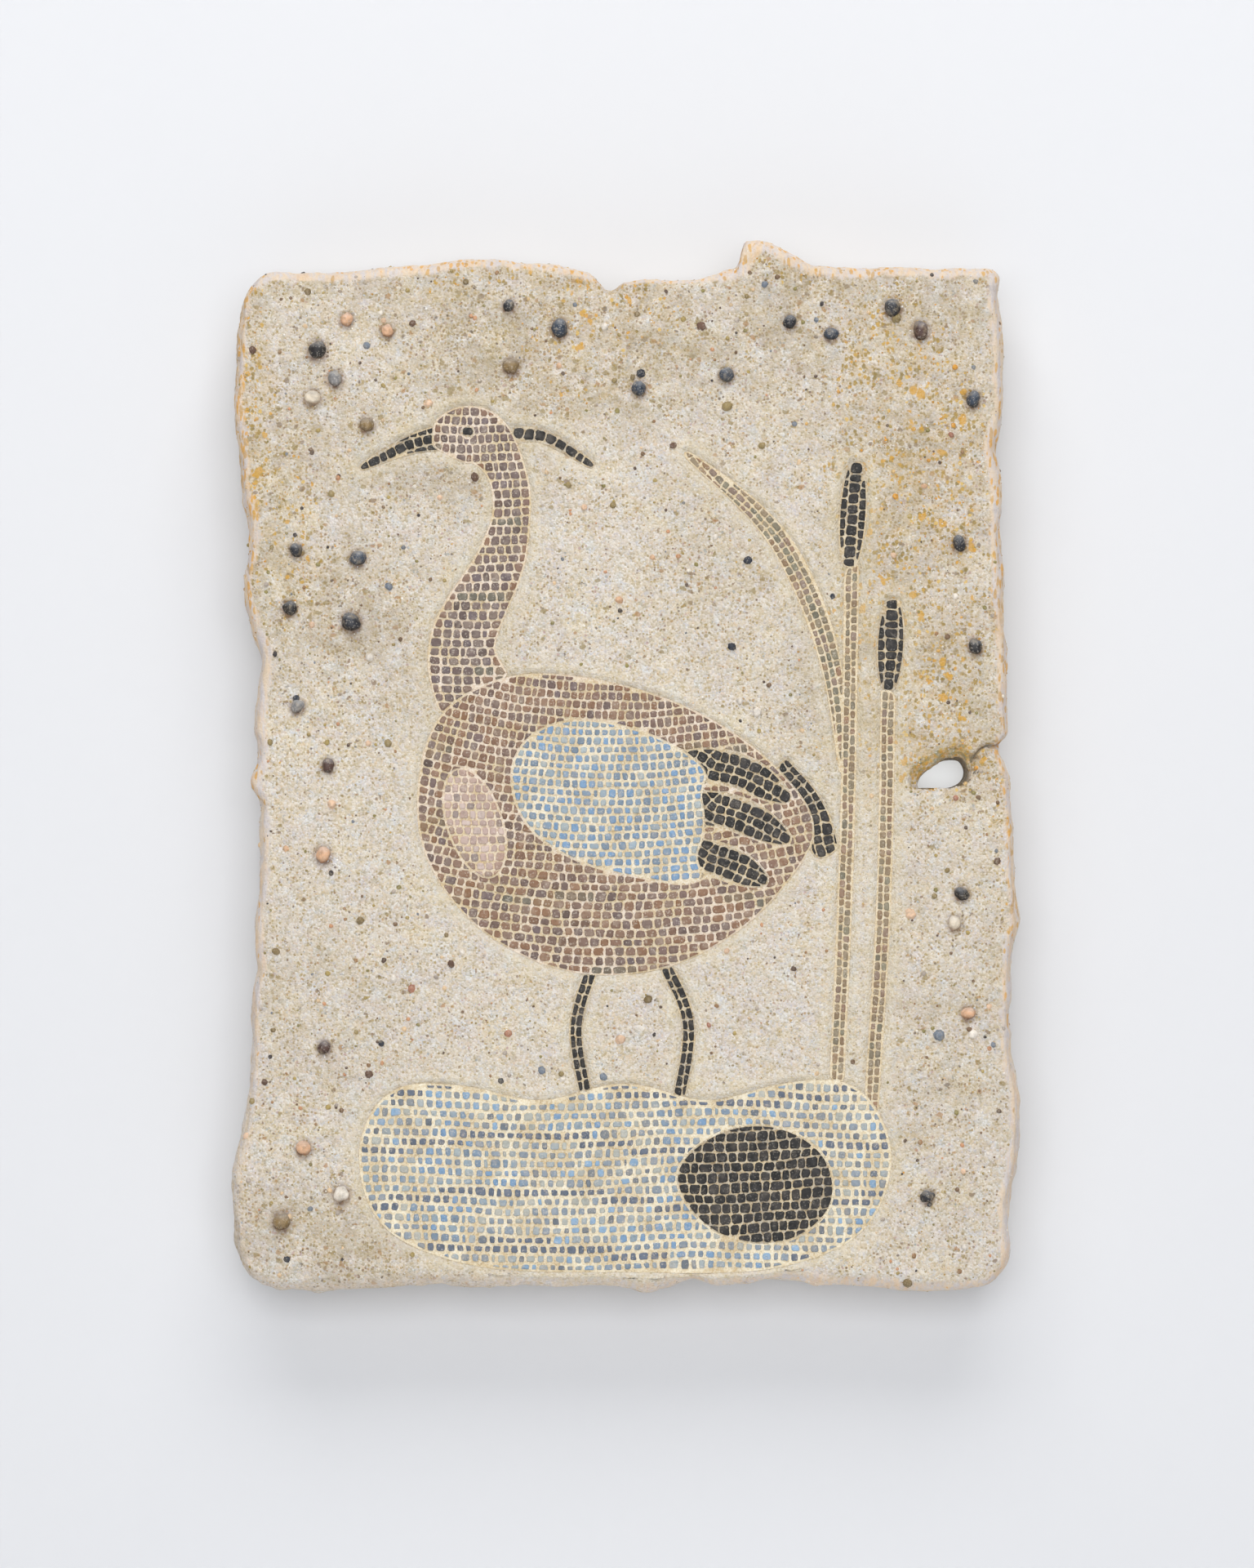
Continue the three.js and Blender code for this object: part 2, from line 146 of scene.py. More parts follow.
# Colours of the loose stone, with how often each comes up.
PEBBLE_COLOURS = {
    "dark_pebble": [("#2c2d33", 4), ("#3a4452", 3), ("#292626", 3), ("#553d35", 2)],
    "warm_pebble": [("#f0cfb0", 3), ("#e2b48f", 2), ("#f4e0d0", 2)],
    "pale_pebble": [("#e8dac4", 3), ("#f0e6d8", 2)],
    "brown_pebble": [("#8f7750", 3), ("#7c664a", 2)],
    "grey_pebble": [("#828b97", 3), ("#8b8988", 2)],
}
SMALL_PEBBLE_COLOURS = [
    ("#e8c5a6", 5), ("#dcb18d", 3), ("#9d8a5e", 5), ("#86734f", 3), ("#6d5344", 3), ("#353a44", 4),
    ("#7f8894", 3), ("#efe6da", 3), ("#b9836b", 2),
]
GRAVEL_COLOURS = [
    ("#453f3f", 2), ("#675549", 3), ("#82684f", 4), ("#a5815c", 3), ("#d09a72", 3), ("#e0c29c", 4),
    ("#958a55", 6), ("#b09a5e", 5), ("#7d838a", 2), ("#b9aca0", 3), ("#efe6d8", 3),
]
SAND_COLOURS = [
    ("#e0d6c6", 10), ("#ece5d9", 8), ("#d3c6ae", 7), ("#d5cfcf", 7), ("#bfae85", 6), ("#a89768", 4),
    ("#c9a869", 3), ("#9a7f68", 1.5), ("#6a5d50", 0.5), ("#f4f0ea", 4), ("#cdd1d3", 6),
]
OCHRE_COLOURS = [("#dda044", 3), ("#d8a95a", 3), ("#b98a42", 3), ("#d9b780", 2)]

# The loose stone: how fine its balls are meshed, how many there are and of what sizes, how deep they sit as a
# share of their size, how many lie on the edges, and the seed of their random places.
LOOSE_STONE = {
    "small_pebbles": {
        "detail": 3, "count": 92, "sizes": (2.9 * MM, 5.6 * MM), "sunk": 0.12, "on_edge": 0.1,
        "seed": 303, "colours": SMALL_PEBBLE_COLOURS,
    },
    "gravel": {
        "detail": 2, "count": 820, "sizes": (1.1 * MM, 3.1 * MM), "sunk": 0.16, "on_edge": 0.12,
        "seed": 301, "colours": GRAVEL_COLOURS,
    },
    "coarse_sand": {
        "detail": 1, "count": 9000, "sizes": (0.7 * MM, 1.6 * MM), "sunk": 0.2, "on_edge": 0.35,
        "seed": 302, "colours": SAND_COLOURS,
    },
}

# Where ochre flecks gather: middle and half-size as shares of the panel's box, and how thick they lie.
OCHRE_PATCHES = [
    ((0.84, 0.87), (0.06, 0.07), 0.8),
    ((0.86, 0.77), (0.08, 0.11), 1.0),
    ((0.85, 0.61), (0.08, 0.07), 0.9),
    ((0.90, 0.51), (0.12, 0.03), 1.0),
    ((0.01, 0.80), (0.035, 0.14), 1.5),
    ((0.07, 0.72), (0.05, 0.07), 0.55),
    ((0.47, 0.93), (0.08, 0.05), 0.65),
    ((0.36, 0.97), (0.16, 0.03), 0.6),
    ((0.44, 0.88), (0.07, 0.03), 0.45),
    ((0.72, 0.98), (0.24, 0.02), 0.7),
    ((0.98, 0.62), (0.02, 0.26), 0.8),
    ((0.81, 0.12), (0.03, 0.04), 0.5),
    ((0.02, 0.50), (0.02, 0.10), 0.5),
]
# Where the ground is browner and dirtier, in the same terms.
DIRT_PATCHES = [
    ((0.22, 0.95), (0.22, 0.06), 0.8),
    ((0.43, 0.90), (0.20, 0.07), 1.0),
    ((0.80, 0.93), (0.22, 0.08), 1.0),
    ((0.86, 0.79), (0.11, 0.12), 0.85),
    ((0.10, 0.80), (0.12, 0.08), 0.7),
    ((0.12, 0.66), (0.12, 0.07), 0.9),
    ((0.28, 0.79), (0.12, 0.05), 0.8),
    ((0.26, 0.62), (0.12, 0.08), 0.5),
    ((0.87, 0.60), (0.14, 0.12), 0.9),
    ((0.62, 0.72), (0.08, 0.10), 0.4),
    ((0.12, 0.05), (0.16, 0.05), 0.8),
    ((0.10, 0.28), (0.10, 0.10), 0.35),
    ((0.90, 0.25), (0.10, 0.16), 0.45),
]


# ------------------------------------------------------------------ numbers and colours

def linear(code):
    """A #rrggbb colour as linear light."""
    parts = np.array([int(code[i:i + 2], 16) for i in (1, 3, 5)]) / 255
    return np.where(parts <= 0.04045, parts / 12.92, ((parts + 0.055) / 1.055) ** 2.4)


def rgba(code):
    """A #rrggbb colour for a node socket."""
    return (*linear(code), 1.0)


def picked(colours, count, rng):
    """count linear colours drawn from (code, weight) pairs."""
    weights = np.array([weight for _, weight in colours], float)
    table = np.array([linear(code) for code, _ in colours])
    return table[rng.choice(len(colours), count, p=weights / weights.sum())]


def smooth(value):
    """0 below 0, 1 above 1, and a soft rise between."""
    clipped = np.clip(value, 0, 1)
    return clipped * clipped * (3 - 2 * clipped)


def lattice(cells, seed):
    """A repeatable number from 0 to 1 for each whole-number cell."""
    wild = (cells[..., 0] * 73856093) ^ (cells[..., 1] * 19349663) ^ (cells[..., 2] * 83492791)
    wild = (wild ^ (seed * 26544357)) & 0x7FFFFFFF
    wild = ((wild ^ (wild >> 13)) * 1274126177) & 0x7FFFFFFF
    return ((wild ^ (wild >> 16)) & 0xFFFF) / 0xFFFF


def noise(points, size, seed):
    """Soft noise from 0 to 1 whose bumps are about size across."""
    spread = points / size
    low = np.floor(spread).astype(np.int64)
    part = smooth(spread - low)
    total = np.zeros(len(points))
    for corner in np.ndindex(2, 2, 2):
        step = np.array(corner)
        weight = np.prod(np.where(step, part, 1 - part), axis=1)
        total += weight * lattice(low + step, seed)
    return total


def relief(points, layer):
    """One layer of the sandy relief, in mm."""
    return sum(height * noise(points, width * MM, seed) for height, width, seed in RELIEF[layer])


def patches(plan, spots):
    """How strongly each plan point lies in the spots, which are given as shares of the panel's box."""
    low = np.array([cad_box[0][0], cad_box[0][2]])
    size = np.array([cad_box[1][0], cad_box[1][2]]) - low
    share = (plan - low) / size
    total = np.zeros(len(plan))
    for middle, half, amount in spots:
        away = np.linalg.norm((share - middle) / half, axis=1)
        total = np.maximum(total, amount * smooth((1.9 - away) / 1.5))
    return total


# ------------------------------------------------------------------ outlines

def in_space(plan, y):
    """Plan points as points in space, at one y or at one each."""
    return np.stack([plan[..., 0], np.broadcast_to(y, plan.shape[:-1]), plan[..., 1]], -1)


def open_edges(triangles):
    """The edges that only one triangle has, each as (point, next point)."""
    edges = {(int(a), int(b)) for t in triangles for a, b in zip(t, np.roll(t, -1))}
    return [(a, b) for a, b in edges if (b, a) not in edges]


def welded(node):
    """A CAD node's points with doubles merged, and its triangles."""
    mesh = frame["nodes"][node].data
    mesh.calc_loop_triangles()
    points = np.zeros(len(mesh.vertices) * 3)
    mesh.vertices.foreach_get("co", points)
    triangles = np.zeros(len(mesh.loop_triangles) * 3, np.int32)
    mesh.loop_triangles.foreach_get("vertices", triangles)
    unique, inverse = np.unique(points.reshape(-1, 3).round(6), axis=0, return_inverse=True)
    return unique, inverse.reshape(-1)[triangles].reshape(-1, 3)


def walk(following):
    """Closed loops of a {point: next point} table."""
    loops = []
    while following:
        start, here = following.popitem()
        loop = [start]
        while here != start and here in following:
            loop.append(here)
            here = following.pop(here)
        loops.append(loop)
    return loops


def flat_loops(points, triangles, level):
    """The outlines in plan of the flat surface at a y level: outer ones one way round, holes the other."""
    flat = triangles[(np.abs(points[triangles][:, :, 1] - level) < 2e-6).all(axis=1)]
    return [points[loop][:, [0, 2]] for loop in walk(dict(open_edges(flat)))]


def ring_at(points, triangles, level):
    """The outline in plan that the edges lying at a y level make, anticlockwise from the front."""
    is_level = np.abs(points[:, 1] - level) < 2e-6
    near = {}
    for triangle in triangles:
        for a, b in zip(triangle, np.roll(triangle, -1)):
            if is_level[a] and is_level[b]:
                near.setdefault(int(a), set()).add(int(b))
                near.setdefault(int(b), set()).add(int(a))
    start = next(iter(near))
    loop = [start]
    seen = {start}
    while True:
        ahead = [k for k in near[loop[-1]] if k not in seen]
        if not ahead:
            break
        loop.append(ahead[0])
        seen.add(ahead[0])
    outline = points[loop][:, [0, 2]]
    return outline if area(outline) > 0 else outline[::-1]


def area(outline):
    """The area inside an outline, positive when it runs anticlockwise."""
    ahead = np.roll(outline, -1, axis=0)
    return float((outline[:, 0] * ahead[:, 1] - ahead[:, 0] * outline[:, 1]).sum() / 2)


def softened(outline):
    """An outline with its corners cut twice over, so that it runs smoothly."""
    for _ in range(2):
        ahead = np.roll(outline, -1, axis=0)
        outline = np.stack([0.75 * outline + 0.25 * ahead, 0.25 * outline + 0.75 * ahead], 1).reshape(-1, 2)
    return outline


def evened(outline, spacing):
    """An outline with its points spread evenly."""
    closed = np.vstack([outline, outline[:1]])
    lengths = np.linalg.norm(np.diff(closed, axis=0), axis=1)
    gone = np.concatenate([[0], np.cumsum(lengths)])
    count = max(6, round(gone[-1] / spacing))
    at = np.arange(count) * gone[-1] / count
    return np.stack([np.interp(at, gone, closed[:, axis]) for axis in (0, 1)], 1)


# How many points signed_distance takes at once, which bounds the memory that it needs.
BATCH = 4000


def signed_distance(plan, loops):
    """Each plan point's distance to the loops, negative inside them, and the way straight out of them."""
    starts = np.vstack(loops)
    ends = np.vstack([np.roll(loop, -1, axis=0) for loop in loops])
    along = ends - starts
    squared = np.maximum((along ** 2).sum(1), 1e-18)
    distance = np.empty(len(plan))
    way = np.empty((len(plan), 2))
    for first in range(0, len(plan), BATCH):
        some = plan[first:first + BATCH]
        offset = some[:, None] - starts[None]
        part = np.clip((offset * along).sum(2) / squared, 0, 1)
        gap = offset - part[..., None] * along
        gap_squared = (gap ** 2).sum(2)
        nearest = gap_squared.argmin(1)
        row = np.arange(len(some))
        away = np.sqrt(gap_squared[row, nearest])
        rises = (starts[None, :, 1] > some[:, None, 1]) != (ends[None, :, 1] > some[:, None, 1])
        with np.errstate(divide="ignore", invalid="ignore"):
            crossing = starts[None, :, 0] + (some[:, None, 1] - starts[None, :, 1]) * (
                along[None, :, 0] / along[None, :, 1]
            )
        inside = ((rises & (some[:, None, 0] < crossing)).sum(1) % 2) == 1
        sign = np.where(inside, -1.0, 1.0)
        distance[first:first + BATCH] = sign * away
        direction = gap[row, nearest] / np.maximum(away, 1e-12)[:, None]
        way[first:first + BATCH] = sign[:, None] * direction
    return distance, way


def thinned(plan, fixed, spacing):
    """The plan points that keep their distance from the fixed points and from each other, in order."""
    kept = {}

    def crowded(point):
        cell = (int(point[0] // spacing), int(point[1] // spacing))
        for i in range(cell[0] - 1, cell[0] + 2):
            for j in range(cell[1] - 1, cell[1] + 2):
                for other in kept.get((i, j), ()):
                    if (other[0] - point[0]) ** 2 + (other[1] - point[1]) ** 2 < spacing ** 2:
                        return True
        return False

    def keep(point):
        kept.setdefault((int(point[0] // spacing), int(point[1] // spacing)), []).append(point)

    for point in fixed:
        keep(point)
    chosen = []
    for point in plan:
        if not crowded(point):
            keep(point)
            chosen.append(point)
    return np.array(chosen).reshape(-1, 2)


def honeycomb(low, high, spacing):
    """Plan points in staggered rows over a rectangle."""
    row_step = spacing * math.sqrt(3) / 2
    rows = np.arange(low[1], high[1], row_step)
    columns = np.arange(low[0], high[0], spacing)
    x, z = np.meshgrid(columns, rows)
    x = x + (np.arange(len(rows)) % 2 * spacing / 2)[:, None]
    return np.stack([x.ravel(), z.ravel()], 1)


def triangulated(plan, counts):
    """Triangles over plan points, of which the first make an outer ring and then holes, with these counts."""
    edges = []
    loops = []
    first = 0
    for count in counts:
        edges += [(first + i, first + (i + 1) % count) for i in range(count)]
        loops.append(plan[first:first + count])
        first += count
    made = delaunay_2d_cdt([Vector(point) for point in plan.tolist()], edges, [], 0, 1e-9)
    original = np.array([ids[0] if ids else -1 for ids in made[3]])
    triangles = original[np.array(made[2])]
    triangles = triangles[(triangles >= 0).all(axis=1)]
    middles = plan[triangles].mean(axis=1)
    return triangles[signed_distance(middles, loops)[0] < 0]


def filled(rings, grid, gap, margin):
    """The points of an outer ring and its holes, and those grid points between them that aren't too near."""
    fixed = np.vstack(rings)
    grid = thinned(grid, fixed, gap)
    inside, _ = signed_distance(grid, rings)
    return np.vstack([fixed, grid[inside < -margin]])


# ------------------------------------------------------------------ meshes

def normals_of(points, triangles):
    """Smooth normals of a mesh's points."""
    corners = points[triangles]
    faces = np.cross(corners[:, 1] - corners[:, 0], corners[:, 2] - corners[:, 0])
    normals = np.zeros_like(points)
    for k in range(3):
        np.add.at(normals, triangles[:, k], faces)
    return normals / np.maximum(np.linalg.norm(normals, axis=1), 1e-15)[:, None]


def make_piece(name, points, triangles, materials, colours, face_materials=None, is_smooth=True):
    """A mesh piece that rides on the panel. colours holds, by name, a colour for each point."""
    mesh = bpy.data.meshes.new(name)
    mesh.vertices.add(len(points))
    mesh.vertices.foreach_set("co", np.asarray(points, np.float32).ravel())
    mesh.loops.add(len(triangles) * 3)
    mesh.loops.foreach_set("vertex_index", np.asarray(triangles, np.int32).ravel())
    mesh.polygons.add(len(triangles))
    mesh.polygons.foreach_set("loop_start", np.arange(0, len(triangles) * 3, 3, dtype=np.int32))
    for material in materials:
        mesh.materials.append(material)
    if face_materials is not None:
        mesh.polygons.foreach_set("material_index", np.asarray(face_materials, np.int32))
    for key, values in colours.items():
        attribute = mesh.attributes.new(key, "FLOAT_COLOR", "POINT")
        full = np.ones((len(points), 4), np.float32)
        full[:, :values.shape[1]] = values
        attribute.data.foreach_set("color", full.ravel())
    mesh.update(calc_edges=True)
    mesh.polygons.foreach_set("use_smooth", np.full(len(triangles), is_smooth))
    mesh.validate()
    piece = bpy.data.objects.new(name, mesh)
    bpy.context.scene.collection.objects.link(piece)
    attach(piece, "root")
    return piece


def icosphere(detail):
    """A unit ball's points and triangles."""
    ball = bmesh.new()
    bmesh.ops.create_icosphere(ball, subdivisions=detail, radius=1)
    points = np.array([vertex.co[:] for vertex in ball.verts])
    triangles = np.array([[vertex.index for vertex in face.verts] for face in ball.faces])
    ball.free()
    return points, triangles


def turns(count, rng):
    """count random rotation matrices."""
    q = rng.normal(size=(count, 4))
    q /= np.linalg.norm(q, axis=1)[:, None]
    w, x, y, z = q.T
    rows = [
        [1 - 2 * (y * y + z * z), 2 * (x * y - z * w), 2 * (x * z + y * w)],
        [2 * (x * y + z * w), 1 - 2 * (x * x + z * z), 2 * (y * z - x * w)],
        [2 * (x * z - y * w), 2 * (y * z + x * w), 1 - 2 * (x * x + y * y)],
    ]
    return np.array(rows).transpose(2, 0, 1)


def copies(points, triangles, count):
    """The triangles of count copies of a mesh whose points are laid end to end."""
    steps = np.arange(count) * len(points)
    return (triangles[None] + steps[:, None, None]).reshape(-1, 3)


# ------------------------------------------------------------------ the ground

slab_points, slab_triangles = welded("slab")
face_y = slab_points[:, 1].min()
back_y = slab_points[:, 1].max()
slab_low = slab_points.min(0)[[0, 2]]
slab_high = slab_points.max(0)[[0, 2]]
slab_tree = BVHTree.FromPolygons(slab_points.tolist(), slab_triangles.tolist())
inlays = sorted(node for node in frame["nodes"] if node.startswith("inlay_"))


def area_loops(node):
    """The outlines of an inlay plate's front, softened."""
    points, triangles = welded(node)
    return [softened(loop) for loop in flat_loops(points, triangles, points[:, 1].min())]


areas = {node: area_loops(node) for node in inlays}


# How far in from the panel's box the ways out of its corners fan out from.
FAN_INSET = 32 * MM
# How far rays look for the slab's surface, and how far a ring may stray from its usual inset.
RAY_REACH = 40 * MM
STRAY = 4.5 * MM
# How far inside the solid's front and back the first and the last section are taken.
END_MARGIN = 0.02 * MM


def rim_normal(plan):
    """The way out of the panel's edge: straight off its sides, and fanned out round its corners."""
    nearest = np.clip(plan, slab_low + FAN_INSET, slab_high - FAN_INSET)
    away = plan - nearest
    return away / np.linalg.norm(away, axis=1)[:, None]


def section_rings(outline, normals, start):
    """The slab's section rings behind an outline: where its surface lies at each depth."""
    rings = []
    for depth in RING_DEPTHS:
        y = min(max(face_y + depth * MM, face_y + END_MARGIN), back_y - END_MARGIN)
        inset = np.zeros(len(outline))
        for i, (point, normal) in enumerate(zip(outline, normals)):
            origin = point + normal * start
            hit = slab_tree.ray_cast(
                Vector((origin[0], y, origin[1])), Vector((-normal[0], 0, -normal[1])), RAY_REACH
            )
            inset[i] = hit[3] - start if hit[0] else np.nan
        usual = np.nanmedian(inset)
        inset = np.where(np.isnan(inset) | (np.abs(inset - usual) > STRAY), usual, inset)
        inset = (np.roll(inset, 1) + 2 * inset + np.roll(inset, -1)) / 4
        rings.append(inset)
    insets = np.array(rings)
    insets[1:-1] = (insets[:-2] + 2 * insets[1:-1] + insets[2:]) / 4
    return [outline - normals * inset[:, None] for inset in insets]


def hole_outline():
    """The outline of the break, as it comes through at the back."""
    loops = flat_loops(slab_points, slab_triangles, back_y)
    smallest = min(loops, key=lambda loop: abs(area(loop)))
    outline = evened(softened(smallest), EDGE_SPACING * 0.7)
    return outline if area(outline) > 0 else outline[::-1]


def outline_normals(outline):
    """The way out of an anticlockwise outline, smoothed."""
    along = np.roll(outline, -2, axis=0) - np.roll(outline, 2, axis=0)
    normals = np.stack([along[:, 1], -along[:, 0]], 1)
    return normals / np.linalg.norm(normals, axis=1)[:, None]


def crack_outline():
    """The outline of the crack's floor, the deepest surface that faces forwards."""
    corners = slab_points[slab_triangles]
    facing = np.cross(corners[:, 1] - corners[:, 0], corners[:, 2] - corners[:, 0])
    forwards = facing[:, 1] < -0.99 * np.maximum(np.linalg.norm(facing, axis=1), 1e-15)
    level = corners[forwards][:, :, 1].max()
    return flat_loops(slab_points, slab_triangles, level)


def pebble_nodes():
    """Each pebble node with its slot."""
    return {
        entry["node"]: entry["material_slot"]
        for entry in frame["record"]["subparts"]
        if entry["material_slot"].endswith("_pebble")
    }


def pebble_spots():
    """The plan middle and radius of each pebble."""
    middles = []
    radii = []
    for node in pebble_nodes():
        low, high = (np.array(corner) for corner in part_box(node))
        middles.append(((low + high) / 2)[[0, 2]])
        radii.append((high - low)[[0, 2]].mean() / 2)
    return np.array(middles), np.array(radii)


def collars(plan):
    """How much the ground is pushed up round the pebbles."""
    middles, radii = pebble_spots()
    total = np.zeros(len(plan))
    for middle, radius in zip(middles, radii):
        away = np.linalg.norm(plan - middle, axis=1) - radius
        total += np.exp(-(((away - 0.6 * MM) / (1.1 * MM)) ** 2))
    return np.minimum(total, 1)


# How near an inlay area a point has to be for its distance to be worked out.
PICTURE_REACH = 30 * MM


def to_picture(plan):
    """The distance to the nearest inlay area, negative inside one, and far for points well away from all."""
    distance = np.full(len(plan), 1.0)
    for loops in areas.values():
        low = np.vstack(loops).min(0) - PICTURE_REACH
        high = np.vstack(loops).max(0) + PICTURE_REACH
        near = ((plan > low) & (plan < high)).all(axis=1)
        if near.any():
            coarse = [evened(loop, 2 * MM) for loop in loops]
            distance[near] = np.minimum(distance[near], signed_distance(plan[near], coarse)[0])
    return distance


def narrowed(rings):
    """The break's rings with a ragged crust that closes in behind the face and opens again to the back."""
    low = rings[-1].min(0)
    high = rings[-1].max(0)
    anchor = np.array([high[0] - 0.34 * (high[0] - low[0]), low[1] - 0.5 * MM])
    starts, ends, gone = CRUST_DEPTHS
    made = []
    for depth, ring in zip(RING_DEPTHS, rings):
        share = float(smooth(depth / starts) * (1 - smooth((depth - ends) / (gone - ends))))
        ragged = noise(in_space(ring, depth * MM), 3.2 * MM, 51) - 0.3
        ragged = ragged[:, None] * CRUST_RAGGED * np.array([0.5, 1])
        throat = anchor + (ring - anchor) * (np.array(THROAT) - ragged)
        sunk = np.array([0, BREAK_SLOPE * smooth(depth / 5)])
        made.append(ring + (throat - ring) * share - sunk)
    return made


def face_plan(outer, hole, crack):
    """Plan points for the face: its boundary rings first, then lines along the picture, then the rest."""
    lines = [evened(loop, OUTLINE_STEP) for loops in areas.values() for loop in loops]
    lips = [line + outline_normals(line) * LIP for line in lines]
    crack_lines = [evened(loop, CRACK_STEP) for loop in crack]
    crack_lines += [line - outline_normals(line) * 0.7 * MM * np.sign(area(line)) for line in crack_lines]
    ring_points = np.vstack([outer, hole])
    special = thinned(np.vstack(crack_lines + lines + lips), ring_points, LINE_GAP)
    grid = honeycomb(slab_low, slab_high, FACE_SPACING)
    rng = np.random.default_rng(11)
    grid = grid + rng.uniform(-GRID_JITTER, GRID_JITTER, grid.shape) * FACE_SPACING
    grid = thinned(grid, np.vstack([ring_points, special]), FACE_GAP)
    plan = np.vstack([ring_points, special, grid])
    inside, _ = signed_distance(plan[len(ring_points):], [outer, hole])
    picture = to_picture(plan[len(ring_points):])
    # Under the picture, where the tiles hide the ground, every third point is enough.
    is_sparse = (picture < -3 * MM) & (np.arange(len(picture)) % 3 != 0)
    keep = (inside < -0.5 * MM) & ~is_sparse
    return np.vstack([ring_points, plan[len(ring_points):][keep]])


def band(rings, first, points_so_far):
    """Triangles that join rings of points from the face to the back, and the indices of each ring."""
    count = len(first)
    indices = [first]
    for k in range(1, len(rings)):
        indices.append(points_so_far + (k - 1) * count + np.arange(count))
    triangles = []
    for near, far in zip(indices[:-1], indices[1:]):
        near_next = np.roll(near, -1)
        far_next = np.roll(far, -1)
        triangles.append(np.stack([near, far, near_next], 1))
        triangles.append(np.stack([near_next, far, far_next], 1))
    return np.vstack(triangles), indices


def widest_level():
    """The y level at which the slab is widest."""
    return slab_points[slab_points[:, 0].argmax(), 1]


# How far outside the slab the rays that look for its surface start, round the panel and in the break.
OUTER_START = 6 * MM
BREAK_START = 1.2 * MM


def ground_shape():
    """The slab's points and triangles before it is roughened: face, edges, break and back in one skin."""
    outline = evened(softened(ring_at(slab_points, slab_triangles, widest_level())), EDGE_SPACING)
    outer_rings = section_rings(outline, rim_normal(outline), OUTER_START)
    hole = hole_outline()
    hole_rings = narrowed(section_rings(hole, -outline_normals(hole), BREAK_START))
    plan = face_plan(outer_rings[0], hole_rings[0], crack_outline())
    outer_count = len(outline)
    hole_count = len(hole)
    face = triangulated(plan, [outer_count, hole_count])
    points = [in_space(plan, face_y)]
    so_far = len(plan)
    triangles = [face]
    last_rings = []
    for rings, first in (
        (outer_rings, np.arange(outer_count)),
        (hole_rings, np.arange(outer_count, outer_count + hole_count)),
    ):
        made, indices = band(rings, first, so_far)
        triangles.append(made if rings is outer_rings else made[:, ::-1])
        for depth, ring in zip(RING_DEPTHS[1:], rings[1:]):
            points.append(in_space(ring, face_y + depth * MM))
            so_far += len(ring)
        last_rings.append(indices[-1])
    grid = honeycomb(slab_low, slab_high, BACK_SPACING)
    back_plan = filled([outer_rings[-1], hole_rings[-1]], grid, BACK_GAP, 0.5 * BACK_SPACING)
    back = triangulated(back_plan, [outer_count, hole_count])
    grid = back_plan[outer_count + hole_count:]
    ids = np.concatenate([*last_rings, so_far + np.arange(len(grid))])
    points.append(in_space(grid, back_y))
    triangles.append(ids[back][:, ::-1])
    return np.vstack(points), np.vstack(triangles)


def plan_and_depth(points):
    """The points in plan, and how far behind the face each one lies."""
    return points[:, [0, 2]], points[:, 1] - face_y


def near_break(plan):
    """Each plan point's distance from the break, negative inside it."""
    return signed_distance(plan, [hole_outline()])[0]


# The seam beside the break: how long and how wide it is, and how it waves.
SEAM_LENGTH = 45 * MM
SEAM_WIDTH = 0.9 * MM
SEAM_WAVE = 1.5 * MM
SEAM_WAVE_LENGTH = 9 * MM


def seam_height(plan):
    """The faint raised seam that runs left from the break, from 0 to 1."""
    low = hole_outline().min(0)
    line = plan[:, 1] - (low[1] + SEAM_WAVE * np.sin(plan[:, 0] / SEAM_WAVE_LENGTH))
    starts = smooth((low[0] - plan[:, 0]) / (4 * MM))
    fades = smooth((plan[:, 0] - (low[0] - SEAM_LENGTH)) / (20 * MM))
    return np.exp(-((line / SEAM_WIDTH) ** 2)) * starts * fades


# The bare edge: how wide it is, how much that drifts, how ragged it is, and how far behind the face it fades.
EDGE_WIDTH = 6.6 * MM
EDGE_DRIFT = 3.4 * MM
EDGE_RAGGED = 2.6 * MM
EDGE_DEPTH = 6 * MM


def bare_edge(points):
    """Where the ground's sandy face has given way to the bare, rounded edge, from 0 to 1: less low down."""
    plan, depth = plan_and_depth(points)
    outline = [evened(ring_at(slab_points, slab_triangles, widest_level()), 3 * MM)]
    inset = np.full(len(points), 1.0)
    margin = 20 * MM
    is_near = ((plan < slab_low + margin) | (plan > slab_high - margin)).any(axis=1)
    inset[is_near] = -signed_distance(plan[is_near], outline)[0]
    ragged = noise(points, 4.5 * MM, 23) + 0.7 * noise(points, 1.8 * MM, 24) - 0.85
    width = EDGE_WIDTH + EDGE_DRIFT * (noise(points, 40 * MM, 26) - 0.5) + EDGE_RAGGED * ragged
    rises = (plan[:, 1] - slab_low[1]) / (slab_high[1] - slab_low[1])
    across = (plan[:, 0] - slab_low[0]) / (slab_high[0] - slab_low[0])
    height_share = 0.4 + 0.6 * smooth((rises + 0.35 * across - 0.08) / 0.25)
    fades = 1 - 0.72 * smooth((depth - EDGE_DEPTH + 4 * MM * ragged) / (9 * MM))
    return smooth((width - inset) / (0.9 * MM)) * height_share * fades


# How deep the crack is, how far the face dips towards the break, and how high the ground stands at pebbles.
CLEFT_DEPTH = 7 * MM
FUNNEL_DEPTH = 1.9 * MM
COLLAR_HEIGHT = 0.45 * MM


